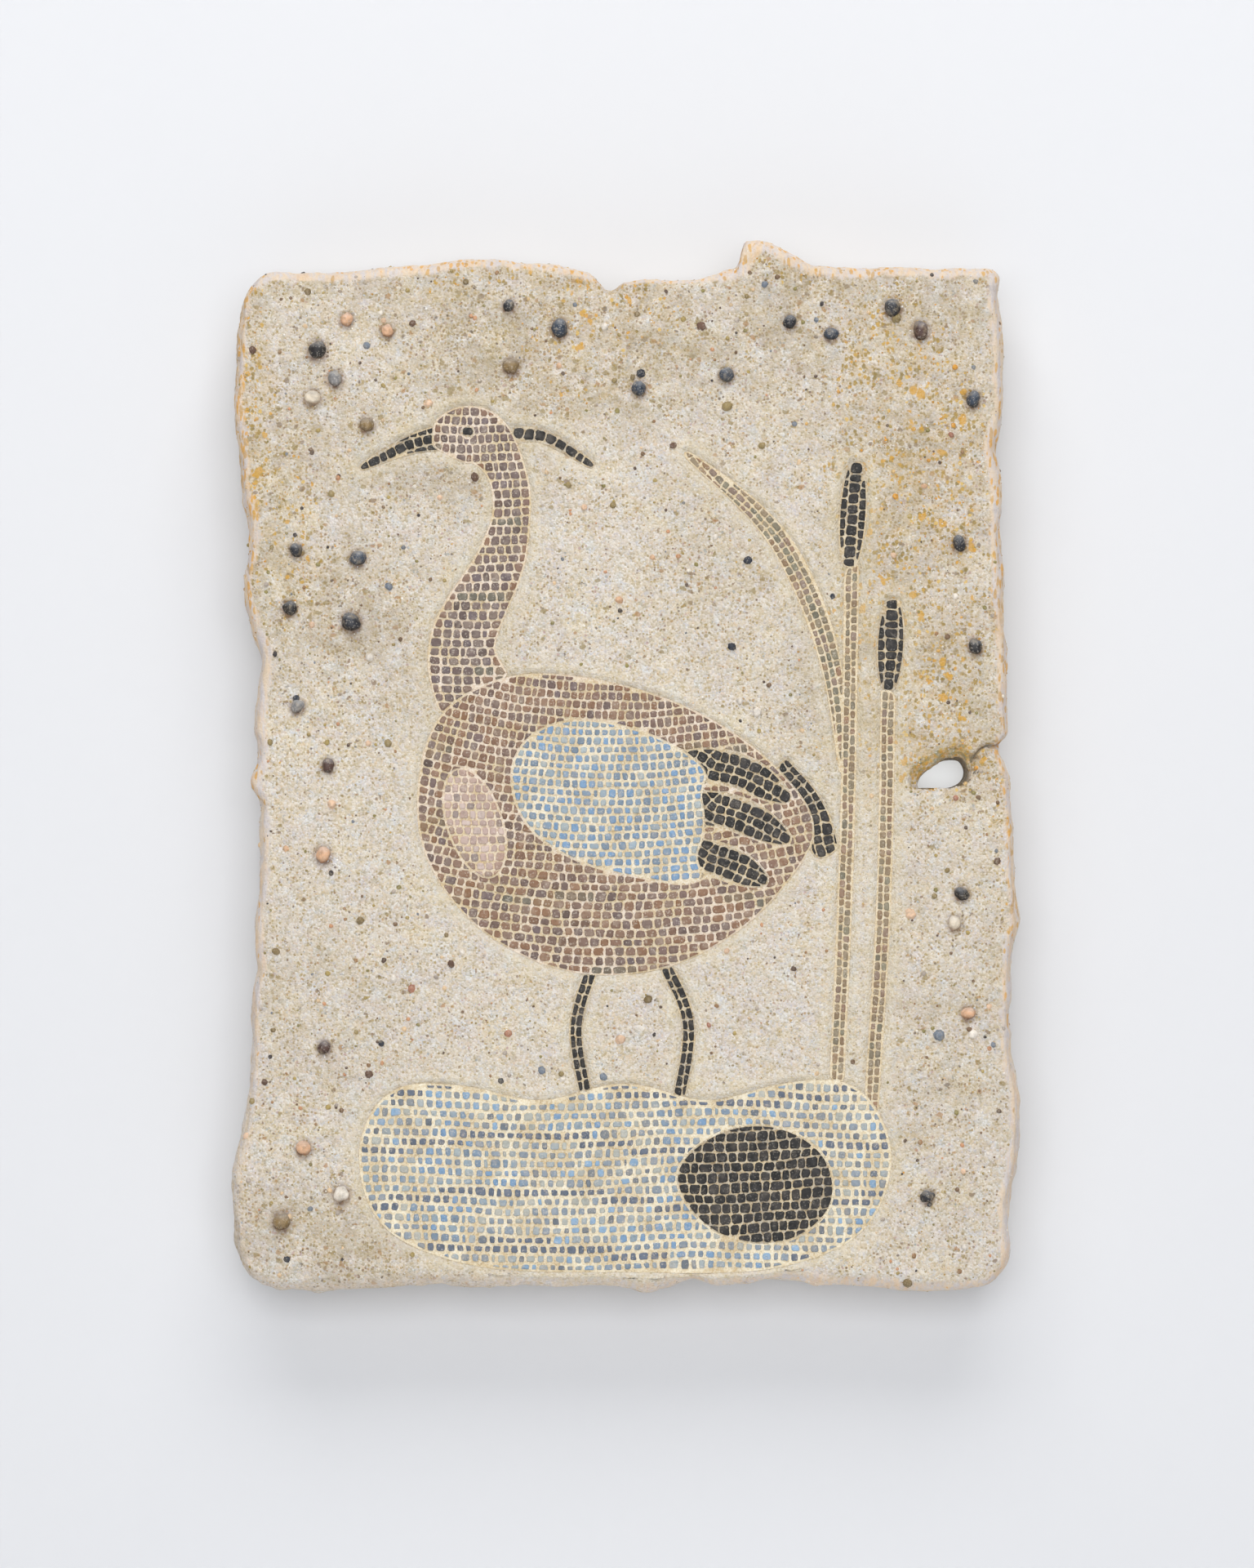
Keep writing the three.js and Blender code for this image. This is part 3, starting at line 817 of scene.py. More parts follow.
def roughened(points, triangles, bare):
    """The ground's points with the picture's bed, the crack and the cast, sandy surface worked in."""
    plan, depth = plan_and_depth(points)
    normals = normals_of(points, triangles)
    is_face = smooth(1 - depth / (2.5 * MM))
    is_side = smooth((depth - 0.4 * MM) / (2.5 * MM))
    is_back = smooth((depth - (back_y - face_y) + 2 * MM) / (2 * MM))
    picture = to_picture(plan)
    crack = signed_distance(plan, crack_outline())[0]
    bed = BED_DEPTH * smooth((LIP - picture) / LIP)
    cleft = CLEFT_DEPTH * smooth(0.2 - crack / (0.75 * MM)) * smooth(1 - (depth - 6 * MM) / (6 * MM))
    funnel = FUNNEL_DEPTH * np.exp(-np.maximum(near_break(plan) - 2 * MM, 0) / (2.6 * MM)) * is_face
    calm = smooth((picture - 0.8 * MM) / (5 * MM))
    sandy = (0.45 + 0.55 * calm) * (1 - 0.45 * bare)
    loose = relief(points, "lumps") + relief(points, "grain")
    knobs = relief(points, "knobs") * is_side * (1 - is_back)
    pits = smooth((noise(points, 3.4 * MM, 6) - 0.8) / 0.1) * 0.8
    seam = 0.7 * seam_height(plan) * calm
    worn = relief(points, "swell") + (loose + pits) * sandy + knobs - seam - MEAN_RELIEF
    worn = worn * (1 - 0.6 * is_back)
    lowered = worn * MM - COLLAR_HEIGHT * collars(plan) * is_face * calm
    lowered = np.maximum(lowered, 0)
    lowered = np.where((picture < 0) & (is_face > 0), 0.15 * lowered, lowered)
    moved = points - normals * lowered[:, None]
    moved[:, 1] += bed * is_face + cleft + funnel
    moved[:, 1] = np.minimum(moved[:, 1], back_y)
    return moved, picture


def ground_marks(points, picture, bare):
    """What the ground's material is told of each point: near the picture, on the edge, ochre and dirt."""
    plan, depth = plan_and_depth(points)
    near = np.exp(-np.maximum(picture, 0) / (5.5 * MM)) * smooth(1 - depth / (6 * MM))
    edge = np.where((picture < 3 * MM) & (depth < 5 * MM), 0, bare)
    ochre = patches(plan, OCHRE_PATCHES) * (0.3 + 0.9 * noise(points, 14 * MM, 21))
    dirt = patches(plan, DIRT_PATCHES) * (0.4 + 0.8 * noise(points, 18 * MM, 22))
    return np.stack([near, edge, ochre, dirt], 1)


def pebble_shadows_and_dirt(plan):
    """The painted shadow under each pebble and the dark ring round its foot, part painted shade and part
    dirt, from 0 to 1.
    """
    middles, radii = pebble_spots()
    total = np.zeros(len(plan))
    for middle, radius in zip(middles, radii):
        # The blob set below each pebble is painted shadow, as if lit from above.
        below = middle - np.array([0, 0.55 * radius])
        total += np.exp(-((np.linalg.norm(plan - below, axis=1) / (0.95 * radius)) ** 4))
        # The dark ring round each pebble's foot is part painted shade and part dirt.
        away = np.linalg.norm(plan - middle, axis=1) - radius
        total += 0.75 * np.exp(-((away / (0.35 * radius)) ** 2))
    return np.minimum(total, 1)


def ground_places(points):
    """Further marks: the back, the crust round the break, thickest above it, and the pebbles' painted shadows
    and dirt.
    """
    plan, depth = plan_and_depth(points)
    back = smooth((depth - (back_y - face_y) + 3 * MM) / (2.5 * MM))
    middle = hole_outline().mean(0)
    above = 0.1 + 0.9 * smooth((plan[:, 1] - middle[1]) / (4 * MM) + 0.5)
    crust = np.exp(-np.maximum(near_break(plan) - 1.5 * MM, 0) / (3 * MM)) * above
    crust = crust * (0.5 + 0.8 * noise(points, 4 * MM, 25)) * (1 - smooth(depth / (14 * MM)))
    return np.stack([back, crust, pebble_shadows_and_dirt(plan) * (1 - smooth(depth / (3 * MM)))], 1)


# ------------------------------------------------------------------ the tiles

def arc_courses(centre, bend):
    """Courses that sag in shallow arcs about a centre high above, as (along, across) to a plan point."""
    def place(along, across):
        angle = along / bend
        radius = bend - across
        return np.stack([centre[0] + radius * np.sin(angle), centre[1] + bend - radius * np.cos(angle)], -1)
    return place


def straight_courses(centre, wave):
    """Level courses with a slow wave, in the same terms."""
    def place(along, across):
        lift = wave * np.sin((centre[0] + along) / (23 * MM))
        return np.stack([centre[0] + along, centre[1] + across + lift], -1)
    return place


def own_axes(points):
    """The middle of some plan points, and their long and short directions."""
    middle = points.mean(0)
    return middle, np.linalg.svd(points - middle, full_matrices=False)[2]


def strip_courses(loops):
    """Courses that follow the middle line of a long, narrow area, in the same terms."""
    points = evened(loops[0], 1 * MM)
    middle, axes = own_axes(points)
    spread = (points - middle) @ axes.T
    edges = np.linspace(spread[:, 0].min(), spread[:, 0].max(), 16)
    at = []
    side = []
    for low, high in zip(edges[:-1], edges[1:]):
        inside = (spread[:, 0] >= low) & (spread[:, 0] <= high)
        at.append((low + high) / 2)
        side.append((spread[inside, 1].max() + spread[inside, 1].min()) / 2)
    side = np.convolve(np.pad(side, 1, mode="edge"), [0.25, 0.5, 0.25], mode="valid")

    def place(along, across):
        lift = np.interp(along, at, side)
        slope = (np.interp(along + MM, at, side) - np.interp(along - MM, at, side)) / (2 * MM)
        scale = np.sqrt(1 + slope ** 2)
        local = np.stack([along - across * slope / scale, lift + across / scale], -1)
        return middle + local @ axes
    return place


# Which areas have courses that sag in arcs, and how far above them the arcs' centre is.
ARC_AREAS = ("inlay_body", "inlay_neck", "inlay_breast", "inlay_wing_shoulder", "inlay_eye")
ARC_BEND = 330 * MM
# Which areas have level courses, and how high their wave is. All other areas are narrow strips.
WAVES = {"inlay_water": 1.1 * MM, "inlay_stone": -2 * MM}


def courses_for(node, loops):
    """How the courses of an area run, and half the length and half the width that they must cover."""
    points = np.vstack(loops)
    centre = (points.min(0) + points.max(0)) / 2
    half = (points.max(0) - points.min(0)) / 2 + 8 * MM
    if node in ARC_AREAS:
        return arc_courses(centre, ARC_BEND), half
    if node in WAVES:
        return straight_courses(centre, WAVES[node]), half
    middle, axes = own_axes(points)
    spread = (points - middle) @ axes.T
    return strip_courses(loops), np.array([np.linalg.norm(half), np.abs(spread[:, 1]).max() + 2 * MM])


def stretches(inside, places):
    """The runs of True, as (start, end) places."""
    changes = np.flatnonzero(np.diff(np.concatenate([[False], inside, [False]]).astype(int)))
    last = len(places) - 1
    return [(places[a], places[min(b, last)]) for a, b in zip(changes[::2], changes[1::2])]


def cells(loops, place, half, kind, rng):
    """The corners of each tile's cell, before joints: (count, 4, 2) in course terms."""
    pitch = kind["pitch"] * MM
    course = kind["course"] * MM
    rows = max(1, round(2 * half[1] / course))
    course = 2 * half[1] / rows
    places = np.arange(-half[0], half[0], 0.35 * MM)
    phases = rng.uniform(0, 2 * math.pi, (rows + 1, 2))

    def line(row, along):
        drift = np.sin(along / (11 * MM) + phases[row, 0]) + 0.7 * np.sin(along / (5.3 * MM) + phases[row, 1])
        return -half[1] + row * course + (0.075 * course * drift if 0 < row < rows else 0)

    corners = []
    for row in range(rows):
        inside = np.zeros(len(places), bool)
        for part in (0.2, 0.5, 0.8):
            plan = place(places, np.full(len(places), -half[1] + (row + part) * course))
            inside |= signed_distance(plan, loops)[0] < 0
        for start, end in stretches(inside, places):
            count = max(1, round((end - start) / pitch))
            cuts = np.linspace(start, end, count + 1)
            cuts[1:-1] += rng.normal(0, 0.1, max(0, count - 1)).clip(-0.2, 0.2) * pitch
            lean = rng.normal(0, 0.045, count + 1) * pitch
            for k in range(count):
                left, right = cuts[k], cuts[k + 1]
                corners.append([
                    (left - lean[k], line(row, left)), (right - lean[k + 1], line(row, right)),
                    (right + lean[k + 1], line(row + 1, right)), (left + lean[k], line(row + 1, left)),
                ])
    return np.array(corners)


# How far a tile reaches down into the mortar, and the rings of its bevel above it: how far each lies inside
# the rim, and how far below the top, all in mm.
TILE_ROOT = 0.75
TILE_BEVEL = [(0.0, 0.34), (0.16, 0.12), (0.5, 0.0)]
# A tile's rim in unit terms: two points at each cut-off corner and one in the middle of each side.
CORNER_CUT = 0.17
TILE_RIM = np.array([
    (CORNER_CUT, 0), (0.5, 0), (1 - CORNER_CUT, 0), (1, CORNER_CUT), (1, 0.5), (1, 1 - CORNER_CUT),
    (1 - CORNER_CUT, 1), (0.5, 1), (CORNER_CUT, 1), (0, 1 - CORNER_CUT), (0, 0.5), (0, CORNER_CUT),
])


def tile_rims(loops, place, corners, joint, rng):
    """The plan rims of the tiles: joints taken off, corners cut, and trimmed to the area's outline."""
    width = np.abs(corners[:, 1, 0] - corners[:, 0, 0])
    height = np.abs(corners[:, 2, 1] - corners[:, 1, 1])
    shrink = 1 - joint / np.stack([np.maximum(width, joint * 1.5), np.maximum(height, joint * 1.5)], 1)
    rim = 0.5 + (TILE_RIM[None] - 0.5) * shrink[:, None]
    rim = rim + rng.normal(0, 0.024, rim.shape)
    s, t = rim[..., :1], rim[..., 1:]
    mixed = (
        corners[:, None, 0] * (1 - s) * (1 - t) + corners[:, None, 1] * s * (1 - t)
        + corners[:, None, 2] * s * t + corners[:, None, 3] * (1 - s) * t
    )
    plan = place(mixed[..., 0], mixed[..., 1])
    flat = plan.reshape(-1, 2)
    margin = joint * 0.42
    for _ in range(3):
        distance, way = signed_distance(flat, loops)
        flat = flat - way * np.maximum(distance + margin, 0)[:, None]
    plan = flat.reshape(plan.shape)
    areas_now = np.array([area(rim_points) for rim_points in plan])
    usual = np.median(np.abs(areas_now))
    return plan[np.abs(areas_now) > 0.24 * usual]


def tile_solids(rims, proud, rng):
    """Closed, bevelled tiles on their plan rims: (points, triangles, how many points each tile has)."""
    count, sides = rims.shape[:2]
    if area(rims[0]) < 0:
        rims = rims[:, ::-1]
    middles = rims.mean(axis=1, keepdims=True)
    top = face_y + MORTAR_DEPTH - proud * MM
    lift = rng.normal(0, 0.1, (count, 1)).clip(-0.22, 0.22) * MM
    tilt = rng.normal(0, 0.04, (count, 1, 2))
    away = rims - middles
    reach = np.maximum(np.linalg.norm(away, axis=2, keepdims=True), 1e-9)
    levels = [(away, proud + TILE_ROOT)]
    levels += [(away * (1 - inset * MM / reach), drop) for inset, drop in TILE_BEVEL]
    points = []
    for offset, drop in levels:
        plan = middles + offset
        slope = (offset * tilt).sum(2)
        y = top + drop * MM + lift + slope * (drop < TILE_ROOT)
        points.append(in_space(plan, y))
    centre = in_space(middles, top + lift - 0.04 * MM)
    under = in_space(middles, top + (proud + TILE_ROOT) * MM)
    every = np.concatenate(points + [centre, under], axis=1)
    every[..., 1] = np.maximum(every[..., 1], face_y + 0.9 * MM)
    k = np.arange(sides)
    ahead = (k + 1) % sides
    faces = []
    for level in range(len(levels) - 1):
        low = level * sides
        high = low + sides
        faces.append(np.stack([low + k, low + ahead, high + k], 1))
        faces.append(np.stack([low + ahead, high + ahead, high + k], 1))
    top_ring = (len(levels) - 1) * sides
    top_middle = len(levels) * sides
    faces.append(np.stack([top_ring + k, top_ring + ahead, np.full(sides, top_middle)], 1))
    faces.append(np.stack([ahead, k, np.full(sides, top_middle + 1)], 1))
    return every.reshape(-1, 3), copies(every[0], np.vstack(faces), count), every.shape[1]


def mortar_bed(loops):
    """A closed, slightly uneven sheet of mortar over an area and a little past it."""
    rings = [evened(loop, MORTAR_STEP) for loop in loops]
    rings = [ring + outline_normals(ring) * MORTAR_GROWTH for ring in rings]
    rings.sort(key=lambda ring: -abs(area(ring)))
    every = np.vstack(rings)
    grid = honeycomb(every.min(0), every.max(0), MORTAR_SPACING)
    plan = filled(rings, grid, MORTAR_GAP, 0.6 * MM)
    front = triangulated(plan, [len(ring) for ring in rings])
    count = len(plan)
    flat = in_space(plan, 0.0)
    uneven = 0.22 * noise(flat, 5 * MM, 31) + 0.16 * noise(flat, 2.1 * MM, 32)
    near = in_space(plan, face_y + MORTAR_DEPTH + (uneven - 0.15) * MM)
    far = in_space(plan, face_y + MORTAR_DEPTH + MORTAR_THICKNESS)
    a, b = np.array(open_edges(front)).T
    skirt = np.vstack([np.stack([a, a + count, b], 1), np.stack([b, a + count, b + count], 1)])
    return np.vstack([near, far]), np.vstack([front, front[:, ::-1] + count, skirt])


# The dark ripples in the water, the grey streaks on the bird, and the rust at the outlines of some areas.
RIPPLE_TINT = "#667080"
STREAK_TINT = "#6f6a5d"
STAIN_TINT = "#a5764a"
STAINED = ("mauve_tile", "pink_tile", "reed_tile")


def tile_tints(node, slot, rims, rng):
    """A colour for each tile of an area."""
    count = len(rims)
    tints = picked(TILES[slot]["colours"], count, rng)
    tints = tints * rng.normal(1, 0.06, (count, 1)).clip(0.82, 1.18)
    middles = rims.mean(axis=1)
    flat = in_space(middles, 0.0)
    if node == "inlay_water":
        low, high = middles[:, 1].min(), middles[:, 1].max()
        share = (middles[:, 1] - low) / (high - low)
        ripple = np.sin(share * 21 + 1.2 * np.sin(middles[:, 0] / (31 * MM)))
        is_dark = (ripple > 0.82) & (noise(flat, 38 * MM, 41) > 0.42)
        is_sky = noise(flat, 26 * MM, 42) > 0.6
        tints[is_sky] = picked(TILES["sky_tile"]["colours"], int(is_sky.sum()), rng)
        tints[is_dark] = linear(RIPPLE_TINT) * rng.normal(1, 0.08, (int(is_dark.sum()), 1))
    if node in ("inlay_body", "inlay_neck"):
        warm = noise(flat, 40 * MM, 43)[:, None]
        tints = tints * (0.92 + 0.14 * warm)
        is_streak = (np.sin(middles[:, 1] / (5.2 * MM)) > 0.93) & (noise(flat, 30 * MM, 44) > 0.55)
        tints[is_streak] = linear(STREAK_TINT) * rng.normal(1, 0.06, (int(is_streak.sum()), 1))
    outer_loops = [loop for loop in areas[node] if area(loop) * area(areas[node][0]) > 0]
    outer = signed_distance(middles, outer_loops)[0]
    stain = smooth(1 + (outer + 0.6 * MM) / (3 * MM))[:, None] * rng.uniform(0.0, 0.55, (count, 1))
    if slot in STAINED:
        tints = tints * (1 - stain) + linear(STAIN_TINT) * stain
    return tints


# ------------------------------------------------------------------ materials

class Shader:
    """A material's node tree, with short calls to add and link nodes."""

    def __init__(self, name):
        self.material = bpy.data.materials.new(name)
        self.material.use_nodes = True
        self.tree = self.material.node_tree
        self.tree.nodes.clear()
        self.surface = self.add("ShaderNodeBsdfPrincipled")
        self.output = self.add("ShaderNodeOutputMaterial", in0=self.surface.outputs[0])
        self.place = self.add("ShaderNodeTexCoord").outputs["Object"]

    def set(self, socket, value):
        """Gives a socket a value, or links it to another node's output."""
        if isinstance(value, bpy.types.NodeSocket):
            self.tree.links.new(value, socket)
        else:
            socket.default_value = value

    def add(self, kind, settings=None, **inputs):
        """Adds a node. Keys name its inputs, with _ for a space, or in0, in1 by order."""
        node = self.tree.nodes.new(kind)
        for key, value in (settings or {}).items():
            setattr(node, key, value)
        for key, value in inputs.items():
            is_numbered = key.startswith("in") and key[2:].isdigit()
            socket = node.inputs[int(key[2:])] if is_numbered else node.inputs[key.replace("_", " ")]
            self.set(socket, value)
        return node

    def noise(self, size, detail=4.0, roughness=0.55, stretch=None):
        """Noise whose bumps are about size across, in metres, or drawn out by a stretch of each axis."""
        return self.add(
            "ShaderNodeTexNoise", Vector=self.drawn_out(stretch), Scale=1 / size, Detail=detail,
            Roughness=roughness,
        ).outputs["Fac"]

    def drawn_out(self, stretch):
        """The object's coordinates, drawn out by a stretch of each axis."""
        if stretch is None:
            return self.place
        return self.add("ShaderNodeMapping", Vector=self.place, Scale=[1 / s for s in stretch]).outputs[0]

    def cloud(self, size, low, high, to_low=0.0, to_high=1.0, detail=4.0, roughness=0.55, stretch=None):
        """Noise of a size, with low..high mapped to to_low..to_high."""
        return self.fit(self.noise(size, detail, roughness, stretch), low, high, to_low, to_high)

    def spots(self, size, share, softness, stretch=None):
        """Round spots in a share of the cells of a size: (how much of a spot, random numbers of its cell)."""
        wander = self.add("ShaderNodeTexNoise", Vector=self.place, Scale=0.7 / size, Detail=3.0)
        shift = self.add(
            "ShaderNodeVectorMath", {"operation": "SCALE"}, in0=wander.outputs["Color"], Scale=0.9 * size
        )
        place = self.add("ShaderNodeVectorMath", in0=self.drawn_out(stretch), in1=shift.outputs[0]).outputs[0]
        node = self.add("ShaderNodeTexVoronoi", Vector=place, Scale=1 / size)
        channels = self.add("ShaderNodeSeparateColor", in0=node.outputs["Color"]).outputs
        chosen = self.math("SUBTRACT", self.math("ADD", channels[0], share), 1.0)
        radius = self.fit(chosen, 0.0, 0.25, 0.0, 0.5)
        room = self.math("SUBTRACT", radius, node.outputs["Distance"])
        return self.fit(room, 0.0, softness), channels

    def grains(self, size):
        """Grains of about a size: (three random numbers for each, the distance from its middle)."""
        node = self.add("ShaderNodeTexVoronoi", Vector=self.place, Scale=1 / size)
        channels = self.add("ShaderNodeSeparateColor", in0=node.outputs["Color"])
        return channels.outputs, node.outputs["Distance"]

    def ramp(self, value, stops, interpolation="LINEAR"):
        """A colour ramp of (place, #rrggbb) stops."""
        node = self.add("ShaderNodeValToRGB", Fac=value)
        node.color_ramp.interpolation = interpolation
        elements = node.color_ramp.elements
        while len(elements) < len(stops):
            elements.new(0.5)
        for element, (at, code) in zip(elements, stops):
            element.position = at
            element.color = rgba(code)
        return node.outputs["Color"]

    def fit(self, value, low, high, to_low=0.0, to_high=1.0):
        """Maps low..high to to_low..to_high, held at the ends."""
        return self.add(
            "ShaderNodeMapRange", Value=value, From_Min=low, From_Max=high, To_Min=to_low, To_Max=to_high
        ).outputs[0]

    def math(self, operation, first, second):
        """One arithmetic step."""
        return self.add("ShaderNodeMath", {"operation": operation}, in0=first, in1=second).outputs[0]

    def times(self, first, second):
        """The product of two values."""
        return self.math("MULTIPLY", first, second)

    def mix(self, amount, first, second, blend="MIX"):
        """Mixes two colours."""
        node = self.add("ShaderNodeMix", {"data_type": "RGBA", "blend_type": blend})
        self.set(node.inputs[0], amount)
        self.set(node.inputs[6], first)
        self.set(node.inputs[7], second)
        return node.outputs[2]

    def tinted(self, amount, colour, code):
        """A colour with an amount of a #rrggbb colour mixed in."""
        return self.mix(amount, colour, rgba(code))

    def spotted(self, spots, most, colour, stops):
        """A colour with spots laid over it, each in the colour of one of the stops."""
        amount, channels = spots
        return self.mix(self.times(amount, most), colour, self.ramp(channels[1], stops, "CONSTANT"))

    def marks(self, name):
        """A colour attribute's channels and its alpha."""
        node = self.add("ShaderNodeAttribute", {"attribute_name": name})
        channels = self.add("ShaderNodeSeparateColor", in0=node.outputs["Color"])
        return node.outputs["Color"], channels.outputs, node.outputs["Alpha"]

    def bump(self, height, distance, strength):
        """Raises the surface by a height map, in metres."""
        node = self.add("ShaderNodeBump", Height=height, Distance=distance, Strength=strength)
        self.set(self.surface.inputs["Normal"], node.outputs[0])

    def finished(self, colour, roughness):
        """The material, once its surface has this colour and roughness."""
        self.set(self.surface.inputs["Base Color"], colour)
        self.set(self.surface.inputs["Roughness"], roughness)
        return self.material


# How wide the sand grains in the ground are, which its colour and its bumps share.
GRAIN_SIZE = 0.9 * MM


def ground_base(shader):
    """Cream sand with drifts of lilac grey, tan and pale blue grey, and fine pale grains."""
    broad = shader.noise(0.034, 2.0)
    colour = shader.ramp(broad, [(0.35, "#e7dbc8"), (0.5, "#e0d6cc"), (0.65, "#e9dcc3")])
    for size, low, high, most, code in (
        (0.006, 0.5, 0.62, 0.5, "#e4cba4"),
        (0.012, 0.5, 0.64, 0.75, "#d9d1d6"),
        (0.0075, 0.52, 0.66, 0.65, "#d3c098"),
        (0.0095, 0.53, 0.65, 0.8, "#dfe4e8"),
        (0.0034, 0.52, 0.64, 0.6, "#d3d7da"),
        (0.0026, 0.55, 0.66, 0.45, "#bfaa7d"),
    ):
        colour = shader.tinted(shader.cloud(size, low, high, 0, most, 4.0, 0.6), colour, code)
    grains, _ = shader.grains(GRAIN_SIZE)
    grain_colour = shader.ramp(grains[0], [
        (0.0, "#f0e8dc"), (0.2, "#dfd3c3"), (0.36, "#cfbf9f"), (0.5, "#e3d4bc"), (0.62, "#d2cdd0"),
        (0.72, "#b8a677"), (0.82, "#f8f4ee"), (0.9, "#dfc4a2"), (0.95, "#a38d5c"),
    ], "CONSTANT")
    return shader.mix(0.47, colour, grain_colour)


def ground_specks(shader, colour, near, dirt):
    """Small olive and brown specks, thick where the ground is dirty, and a few larger flecks."""
    share = shader.math(
        "ADD", shader.fit(near, 0.0, 1.0, 0.42, 0.16), shader.fit(dirt, 0.0, 0.9, 0.0, 0.48)
    )
    share = shader.times(share, shader.cloud(0.007, 0.4, 0.6, 0.3, 1.4, 5.0, 0.65))
    colour = shader.spotted(shader.spots(0.0015, share, 0.2), 0.75, colour, [
        (0.0, "#b29a60"), (0.26, "#9c8550"), (0.46, "#b9925a"), (0.6, "#8b6d50"), (0.76, "#c09e9a"),
        (0.84, "#a3a8a9"), (0.93, "#5f4c42"),
    ])
    large = shader.spots(0.0034, shader.times(share, 0.45), 0.14, (1, 1, 0.8))
    colour = shader.spotted(large, 0.7, colour, [
        (0.0, "#80674f"), (0.3, "#9a8550"), (0.56, "#b3834f"), (0.74, "#54453e"), (0.84, "#efe9e0"),
    ])
    for size, most, code in ((0.0045, 0.42, "#a8946c"), (0.011, 0.45, "#a99a80")):
        grime = shader.cloud(size, 0.4, 0.64, 0.0, 1.0, 5.0, 0.65)
        grime = shader.times(grime, shader.fit(dirt, 0.0, 0.9, 0.04, most))
        colour = shader.tinted(grime, colour, code)
    return colour


def ochre_flecks(shader, colour, ochre):
    """Flecks of ochre paint, thickest where the marks say."""
    drift = shader.cloud(0.008, 0.42, 0.58, 0.3, 1.4, 4.0, 0.6)
    share = shader.times(shader.fit(ochre, 0.0, 0.8, 0.02, 0.85), drift)
    colour = shader.spotted(shader.spots(0.002, share, 0.14, (1, 1, 1.15)), 0.85, colour, [
        (0.0, "#d9a03a"), (0.22, "#caa24c"), (0.48, "#ac8f48"), (0.7, "#978248"), (0.88, "#e0bd6c"),
    ])
    large, _ = shader.spots(0.0044, shader.times(share, 0.45), 0.1, (1, 1, 1.15))
    colour = shader.tinted(shader.times(large, 0.8), colour, "#d9a544")
    haze = shader.times(ochre, shader.cloud(0.004, 0.45, 0.62, 0, 0.34))
    return shader.tinted(haze, colour, "#cda864")


def edge_streaks(shader, colour, edge, ochre):
    """The bare edge: peach and lilac streaks with flakes of ochre."""
    streak = shader.cloud(0.004, 0.42, 0.58, 0.0, 1.0, 4.0, 0.6, (0.5, 1, 3))
    edge_colour = shader.mix(streak, rgba("#e2cdb4"), rgba("#d3cbcb"))
    peach = shader.cloud(0.008, 0.5, 0.66, 0, 0.6, stretch=(0.5, 1, 2.4))
    edge_colour = shader.tinted(peach, edge_colour, "#e6c298")
    share = shader.fit(ochre, 0.0, 0.6, 0.2, 1.3)
    share = shader.times(share, shader.cloud(0.012, 0.4, 0.6, 0.5, 1.2, 3.0))
    flakes = shader.spots(0.0032, share, 0.12, (0.6, 1, 1.7))
    stops = [(0.0, "#dfa23c"), (0.45, "#d6a450"), (0.75, "#c9a066")]
    edge_colour = shader.spotted(flakes, 0.9, edge_colour, stops)
    return shader.mix(shader.times(edge, 0.8), colour, edge_colour)


def picture_rim(shader, colour, near):
    """The smooth yellowish rim round the picture, and the ochre line that bounds it."""
    colour = shader.tinted(shader.fit(near, 0.15, 1.0, 0.0, 0.5), colour, "#e9dcbd")
    line = shader.times(shader.fit(near, 0.79, 0.9), shader.cloud(0.004, 0.4, 0.58, 0.2, 0.95))
    return shader.tinted(line, colour, "#b9965c")


def pebble_shadow_and_dirt(shader, colour, dirt):
    """Patchy brown painted shadow and dirt under and round the pebbles."""
    # dirt here is the pebbles' mark of painted shadow and dirt.
    patchy = shader.times(dirt, shader.cloud(0.002, 0.38, 0.58, 0.35, 0.85, 3.0))
    return shader.tinted(patchy, colour, "#775944")


def break_crust(shader, colour, crust):
    """Ochre and olive staining round the break."""
    tone = shader.ramp(shader.noise(0.003, 4.0, 0.65), [
        (0.36, "#d99e38"), (0.46, "#cba24e"), (0.54, "#b09b66"), (0.64, "#93957c"),
    ])
    patchy = shader.cloud(0.0022, 0.34, 0.58, 0.3, 0.92, 4.0, 0.6)
    return shader.mix(shader.times(shader.fit(crust, 0.1, 0.7), patchy), colour, tone)


def plain_back(shader, colour, back):
    """The back as it was cast: plainer, greyer, and lightly clouded."""
    clouded = shader.noise(0.028, 4.0, 0.6)
    cloud = shader.ramp(clouded, [(0.35, "#c9bfae"), (0.5, "#d1c7b8"), (0.65, "#c2b6a3")])
    cloud = shader.mix(0.3, cloud, colour)
    return shader.mix(shader.times(back, 0.92), colour, cloud)


def ground_material():
    """Sandy cast ground, from its face to its back."""
    shader = Shader("sandy_ground")
    _, (near, edge, ochre), dirt = shader.marks("marks")
    # stain holds the pebbles' painted shadows and the dirt round them.
    _, (back, crust, stain), _ = shader.marks("places")
    colour = ground_base(shader)
    colour = ground_specks(shader, colour, near, dirt)
    colour = ochre_flecks(shader, colour, ochre)
    colour = edge_streaks(shader, colour, edge, ochre)
    colour = picture_rim(shader, colour, near)
    colour = break_crust(shader, colour, crust)
    colour = pebble_shadow_and_dirt(shader, colour, stain)
    colour = plain_back(shader, colour, back)
    _, distance = shader.grains(GRAIN_SIZE)
    height = shader.math("ADD", shader.times(distance, -0.6), shader.noise(0.0016, 5.0, 0.7))
    bubble, _ = shader.spots(0.006, shader.times(back, 0.3), 0.08)
    height = shader.math("SUBTRACT", height, shader.times(bubble, 2.0))
    shader.bump(height, 0.0008, shader.fit(edge, 0.0, 1.0, 0.9, 0.5))
    return shader.finished(colour, shader.cloud(0.002, 0.3, 0.7, 0.82, 0.97, 3.0))


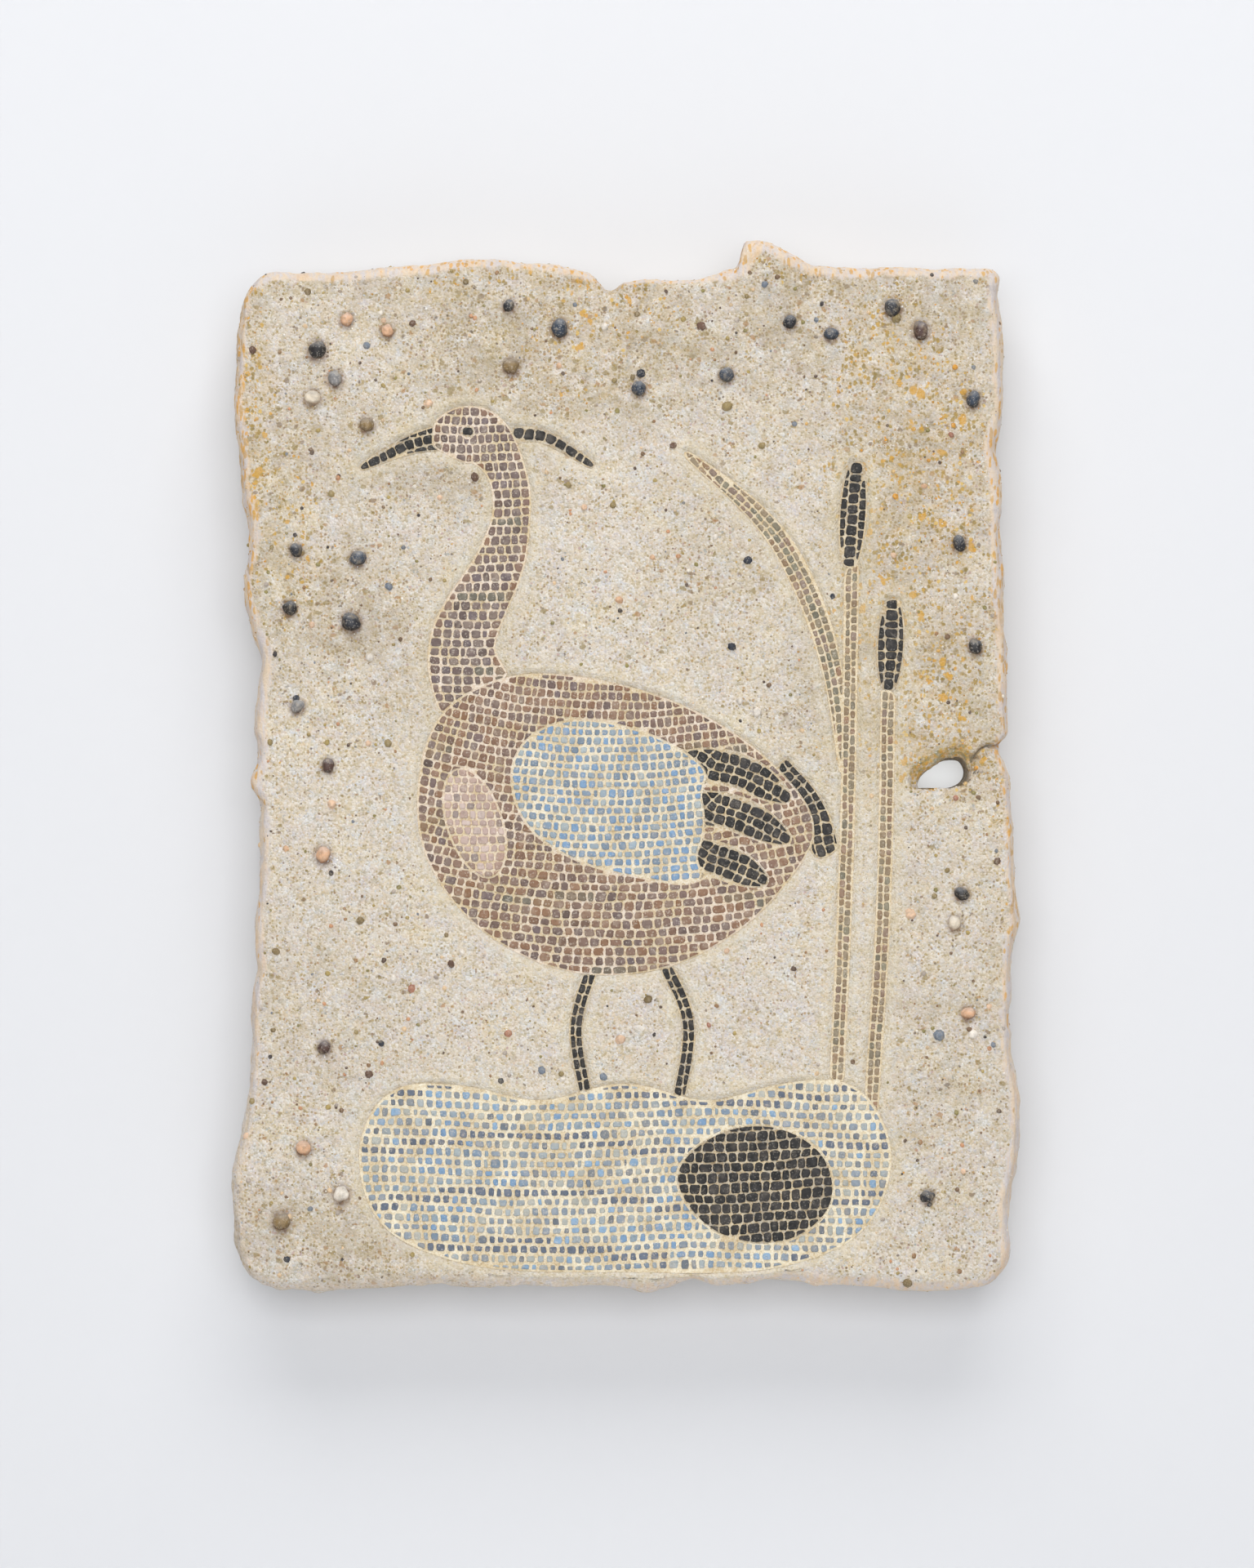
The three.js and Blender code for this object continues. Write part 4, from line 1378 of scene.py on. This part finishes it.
def tile_material(name, dust):
    """Matt cut tile: its own tint, finely mottled, with specks and pale dust."""
    shader = Shader(name)
    tint, _, _ = shader.marks("tint")
    cloud = shader.ramp(shader.noise(0.0014, 4.0, 0.65), [(0.3, "#b8b4b0"), (0.5, "#ffffff")])
    colour = shader.mix(0.5, tint, cloud, "MULTIPLY")
    specks, _ = shader.grains(0.00055)
    is_speck = shader.math("GREATER_THAN", specks[0], 0.9)
    colour = shader.tinted(shader.times(is_speck, dust), colour, "#e6dccd")
    colour = shader.tinted(shader.cloud(0.0032, 0.5, 0.72, 0.0, dust), colour, "#c9b9a6")
    shader.bump(shader.noise(0.0007, 4.0, 0.6), 0.00018, 0.7)
    return shader.finished(colour, shader.cloud(0.002, 0.3, 0.7, 0.5, 0.78, 3.0))


def mortar_material(name, code):
    """Sandy mortar, stained here and there."""
    shader = Shader(name)
    base = shader.tinted(shader.cloud(0.011, 0.4, 0.62), rgba(code), "#d2bd97")
    base = shader.tinted(shader.cloud(0.004, 0.58, 0.75, 0, 0.6), base, "#c09a6a")
    sand, distance = shader.grains(0.0007)
    colour = shader.mix(0.4, base, shader.ramp(sand[0], [
        (0.0, "#efe6d2"), (0.4, "#dccaa8"), (0.7, "#cdb48c"), (0.88, "#a88f68"), (0.95, "#f6f1e6"),
    ], "CONSTANT"))
    shader.bump(shader.math("ADD", distance, shader.noise(0.0012)), 0.00025, 0.8)
    return shader.finished(colour, shader.fit(sand[1], 0.0, 1.0, 0.85, 0.98))


def stone_material(name, roughness, speck):
    """Worn stone: its own tint, clouded and finely speckled."""
    shader = Shader(name)
    tint, _, _ = shader.marks("tint")
    cloud = shader.ramp(shader.noise(0.0022, 4.0, 0.6), [(0.3, "#9a9a9a"), (0.55, "#ffffff")])
    colour = shader.mix(0.55, tint, cloud, "MULTIPLY")
    specks, distance = shader.grains(0.0005)
    is_speck = shader.math("GREATER_THAN", specks[0], 0.86)
    colour = shader.tinted(shader.times(is_speck, speck), colour, "#d8cfc2")
    colour = shader.tinted(shader.cloud(0.003, 0.52, 0.72, 0.0, 0.4), colour, "#b9a88c")
    shader.bump(shader.math("ADD", distance, shader.noise(0.0008, 4.0, 0.6)), 0.00012, 0.6)
    return shader.finished(colour, shader.cloud(0.002, 0.35, 0.65, roughness, roughness + 0.25, 3.0))


def plain_paint(name, code, roughness):
    """The shader of a plain stage material."""
    shader = Shader(name)
    shader.finished(rgba(code), roughness)
    return shader


def clear_from_behind(shader):
    """Makes a material see-through from its back."""
    clear = shader.add("ShaderNodeBsdfTransparent").outputs[0]
    from_behind = shader.add("ShaderNodeNewGeometry").outputs["Backfacing"]
    both = shader.add("ShaderNodeMixShader", in0=from_behind, in1=shader.surface.outputs[0], in2=clear)
    shader.set(shader.output.inputs[0], both.outputs[0])


# ------------------------------------------------------------------ pieces

def build_ground():
    """The slab, finely modelled in place of its CAD solid. Returns what the loose stone is scattered on."""
    points, triangles = ground_shape()
    bare = bare_edge(points)
    moved, picture = roughened(points, triangles, bare)
    marks = ground_marks(moved, picture, bare)
    attributes = {"marks": marks, "places": ground_places(moved)}
    ground = make_piece("ground", moved, triangles, [ground_material()], attributes)
    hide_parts("slab")
    return moved, triangles, marks, picture


def joined(parts):
    """Several meshes as one. Each part is (points, triangles, a tint for each point, material number)."""
    points, triangles, tints, materials = zip(*parts)
    starts = np.cumsum([0] + [len(some) for some in points])
    moved = [faces + start for faces, start in zip(triangles, starts)]
    kinds = [np.full(len(faces), material) for faces, material in zip(triangles, materials)]
    return np.vstack(points), np.vstack(moved), np.vstack(tints), np.concatenate(kinds)


def build_picture():
    """The tesserae and their mortar, one piece for each colour of tile."""
    slots = {entry["node"]: entry["material_slot"] for entry in frame["record"]["subparts"]}
    for index, (slot, kind) in enumerate(TILES.items()):
        nodes = [node for node in inlays if slots[node] == slot]
        rng = np.random.default_rng(100 + index)
        parts = []
        for node in nodes:
            loops = areas[node]
            place, half = courses_for(node, loops)
            corners = cells(loops, place, half, kind, rng)
            rims = tile_rims(loops, place, corners, kind["joint"] * MM, rng)
            solids, faces, each = tile_solids(rims, kind["proud"], rng)
            parts.append((solids, faces, np.repeat(tile_tints(node, slot, rims, rng), each, axis=0), 0))
            bed, bed_faces = mortar_bed(loops)
            parts.append((bed, bed_faces, np.ones((len(bed), 3)), 1))
        points, triangles, tints, kinds = joined(parts)
        materials = [
            tile_material(slot, kind["dust"]),
            mortar_material(slot.replace("tile", "mortar"), kind["mortar"]),
        ]
        piece = make_piece(
            slot.replace("_tile", "_tesserae"), points, triangles, materials, {"tint": tints}, kinds,
            False,
        )
        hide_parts(*nodes)


def highlighted_and_shaded(tint, share):
    """A stone's colour over its points: a pale painted highlight on top, and painted shade on its underside
    that runs into dirt where it meets the ground.
    """
    # Painted highlight: the top of each stone paled towards grey blue.
    painted_highlight = smooth(2.4 * share[:, 2] - 1.25)[:, None] * 0.3
    # dirt here is painted shade on the stone's underside, darkening also towards the back where it sits in
    # the ground, which is partly real dirt.
    dirt = smooth(1.15 - 2.4 * share[:, 2] + 0.9 * (share[:, 1] - 0.5))[:, None] * 0.75
    topped = tint * (1 - painted_highlight) + linear("#c3c6cb") * painted_highlight
    return topped * (1 - dirt) + tint * linear("#8c6748") * dirt


def build_pebbles():
    """The larger pebbles, each within the box of its CAD solid, one piece for each kind."""
    ball, faces = icosphere(4)
    nodes = pebble_nodes()
    for index, slot in enumerate(PEBBLE_COLOURS):
        members = [node for node in nodes if nodes[node] == slot]
        rng = np.random.default_rng(200 + index)
        stones = []
        tints = []
        for node in members:
            low, high = (np.array(corner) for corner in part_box(node))
            seed = int(rng.integers(1, 9000))
            bumps = 0.7 + 0.6 * noise(ball + 5, 0.9, seed) + 0.1 * noise(ball + 5, 0.25, seed + 1)
            stone = ball * bumps[:, None]
            share = (stone - stone.min(0)) / (stone.max(0) - stone.min(0))
            stones.append(low + share * (high - low))
            tints.append(highlighted_and_shaded(picked(PEBBLE_COLOURS[slot], 1, rng), share))
        piece = make_piece(
            slot + "s", np.vstack(stones), copies(ball, faces, len(members)),
            [stone_material(slot, 0.28, 0.25)], {"tint": np.vstack(tints)},
        )
        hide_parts(*members)


def scatter(surface, weights, count, rng):
    """count places on the ground, drawn by weight: (points, normals, each place's marks)."""
    points, triangles, marks, _ = surface
    corners = points[triangles]
    cross = np.cross(corners[:, 1] - corners[:, 0], corners[:, 2] - corners[:, 0])
    size = np.linalg.norm(cross, axis=1)
    chance = size * weights
    chosen = rng.choice(len(triangles), count, p=chance / chance.sum())
    shares = rng.dirichlet([1, 1, 1], count)
    places = (corners[chosen] * shares[..., None]).sum(1)
    here = (marks[triangles[chosen]] * shares[..., None]).sum(1)
    return places, cross[chosen] / size[chosen][:, None], here


def loose_weights(surface, on_edge, reach):
    """How freely stones with this reach lie on each triangle: not in the picture, by the break or behind."""
    points, triangles, marks, picture = surface
    middle_y = points[triangles][:, :, 1].mean(1)
    depth = (middle_y - face_y) / (back_y - face_y)
    clear = smooth((picture[triangles].min(1) - 1.6 * MM) / (4 * MM))
    clear *= 1 - 0.88 * marks[triangles][:, :, 1].mean(1)
    on_face = np.where(depth < 0.08, clear, on_edge)
    middles, radii = pebble_spots()
    plan = points[triangles].mean(1)[:, [0, 2]]
    for middle, radius in zip(middles, radii):
        on_face = np.where(np.linalg.norm(plan - middle, axis=1) < radius, 0, on_face)
    return np.where((depth > 0.8) | (near_break(plan) < reach), 0, on_face)


def build_stones(name, surface, material):
    """One kind of loose stone, set in the ground: one piece."""
    kind = LOOSE_STONE[name]
    rng = np.random.default_rng(kind["seed"])
    count = kind["count"]
    smallest, largest = kind["sizes"]
    ball, faces = icosphere(kind["detail"])
    weights = loose_weights(surface, kind["on_edge"], largest / 2)
    places, normals, here = scatter(surface, weights, count, rng)
    size = smallest + (largest - smallest) * rng.uniform(0, 1, count) ** 2.4
    shape = rng.uniform(0.7, 1.0, (count, 3)) * size[:, None] / 2
    lumps = rng.normal(1, 0.07, (count, len(ball), 1))
    stones = (ball[None] * lumps * shape[:, None]) @ turns(count, rng)
    middles = places - normals * (size * kind["sunk"])[:, None]
    points = (stones + middles[:, None]).reshape(-1, 3)
    low, high = (np.array(corner) for corner in cad_box)
    points = np.clip(points, low, high)
    tints = picked(kind["colours"], count, rng) * rng.normal(1, 0.06, (count, 1))
    is_ochre = rng.uniform(0, 1, count) < here[:, 2] * 0.45
    tints[is_ochre] = picked(OCHRE_COLOURS, int(is_ochre.sum()), rng)
    return make_piece(
        name, points, copies(ball, faces, count), [material],
        {"tint": np.repeat(tints, len(ball), axis=0)},
    )


def build_loose_stone(surface):
    """Small pebbles, fine gravel and sand grains that stand out of the ground."""
    grit = stone_material("gravel_stone", 0.5, 0.2)
    sand = stone_material("sand_stone", 0.7, 0.1)
    build_stones("small_pebbles", surface, grit)
    build_stones("gravel", surface, grit)
    build_stones("coarse_sand", surface, sand)


# ------------------------------------------------------------------ the stage

# How far the wall stands behind the panel, how far wall and floor reach, and how high the floor lies.
WALL_GAP = 0.014
STAGE_REACH = 3.0
FLOOR_Z = -1.3
SQUARE = ((-1, -1), (1, -1), (1, 1), (-1, 1))

# The lamps, which all face the panel: place, width and height, power and colour.
LAMPS = {
    "key_light": ((0, -1.55, 2.1), (2.4, 1.2), 38.5, (1.0, 0.985, 0.96)),
    "left_fill": ((-0.45, -3.0, 0.4), (1.4, 1.4), 21.5, (0.96, 0.98, 1.0)),
    "right_fill": ((0.45, -3.0, 0.4), (1.4, 1.4), 21.5, (0.98, 0.99, 1.0)),
    "back_fill": ((0.9, 2.2, 1.0), (1.8, 1.8), 30, (1, 1, 1)),
}
SKY_COLOUR = (0.93, 0.95, 1.0, 1)
SKY_STRENGTH = 0.3

# The camera: how far off it is, how much taller than the panel its frame is, how far it stands right of
# the panel's middle, and how far below the middle, as a share of the height.
CAMERA_DISTANCE = 2.3
FRAME_SHARE = 1.474
CAMERA_RIGHT = 0.5 * MM
CAMERA_BELOW = 0.0155

panel_low, panel_high = (np.array(corner) for corner in cad_box)
panel_middle = (panel_low + panel_high) / 2
panel_height = (panel_high - panel_low)[2]
wall_y = panel_high[1] + WALL_GAP


def placed(name, data):
    """A new object in the scene."""
    thing = bpy.data.objects.new(name, data)
    bpy.context.scene.collection.objects.link(thing)
    return thing


def sheet(name, corners, shader):
    """A flat sheet of the stage."""
    mesh = bpy.data.meshes.new(name)
    mesh.from_pydata(corners, [], [(0, 1, 2, 3)])
    mesh.materials.append(shader.material)
    plane = placed(name, mesh)
    return plane


def build_wall_and_floor():
    """A pale wall behind the panel, which doesn't hide its back, and a pale floor."""
    paint = plain_paint("wall_paint", "#e2e3e6", 0.9)
    clear_from_behind(paint)
    level = {-1: FLOOR_Z, 1: STAGE_REACH}
    wall = sheet("wall", [(x * STAGE_REACH, wall_y, level[z]) for x, z in SQUARE], paint)
    wall.visible_shadow = False
    paint = plain_paint("floor_paint", "#e9e8e6", 0.8)
    sheet("floor", [(x * STAGE_REACH, y * STAGE_REACH, FLOOR_Z) for x, y in SQUARE], paint)


def area_light(name, place, target, size, power, colour):
    """A rectangular lamp that faces a target."""
    data = bpy.data.lights.new(name, "AREA")
    data.shape = "RECTANGLE"
    data.size, data.size_y = size
    data.energy = power
    data.color = colour
    lamp = placed(name, data)
    lamp.location = place
    lamp.rotation_euler = (Vector(target) - Vector(place)).to_track_quat("-Z", "Y").to_euler()
    return lamp


def build_lights():
    """Soft studio lamps, a weak one behind the break, and a pale light from all round."""
    for name, (place, size, power, colour) in LAMPS.items():
        area_light(name, place, panel_middle, size, power, colour)
    # The wall behind the break is lit as brightly as the photographer's was.
    opening = frame["record"]["physics"]["openings"][0]["box_m"]
    x, _, z = ((a + b) / 2 for a, b in zip(*opening))
    place = (x, panel_high[1] + 0.1 * WALL_GAP, z)
    lamp = area_light("break_light", place, (x, wall_y, z), (0.024, 0.014), 0.0017, (0.93, 0.98, 1.0))
    lamp.visible_camera = False
    world = bpy.data.worlds.new("studio")
    bpy.context.scene.world = world
    world.use_nodes = True
    background = world.node_tree.nodes["Background"]
    background.inputs["Color"].default_value = SKY_COLOUR
    background.inputs["Strength"].default_value = SKY_STRENGTH
    bpy.context.scene.view_settings.view_transform = "Standard"


def build_camera():
    """A camera that looks straight at the panel's face, a little below its middle."""
    data = bpy.data.cameras.new("camera")
    data.sensor_fit = "VERTICAL"
    data.sensor_height = 36
    data.lens = data.sensor_height * (CAMERA_DISTANCE + face_y) / (panel_height * FRAME_SHARE)
    data.clip_end = 20
    camera = placed("camera", data)
    camera.location = (
        panel_middle[0] + CAMERA_RIGHT, -CAMERA_DISTANCE, panel_middle[2] - panel_height * CAMERA_BELOW
    )
    camera.rotation_euler = (math.pi / 2, 0, 0)
    bpy.context.scene.camera = camera


build_wall_and_floor()
build_lights()
build_camera()
ground_surface = build_ground()
build_picture()
build_pebbles()
build_loose_stone(ground_surface)
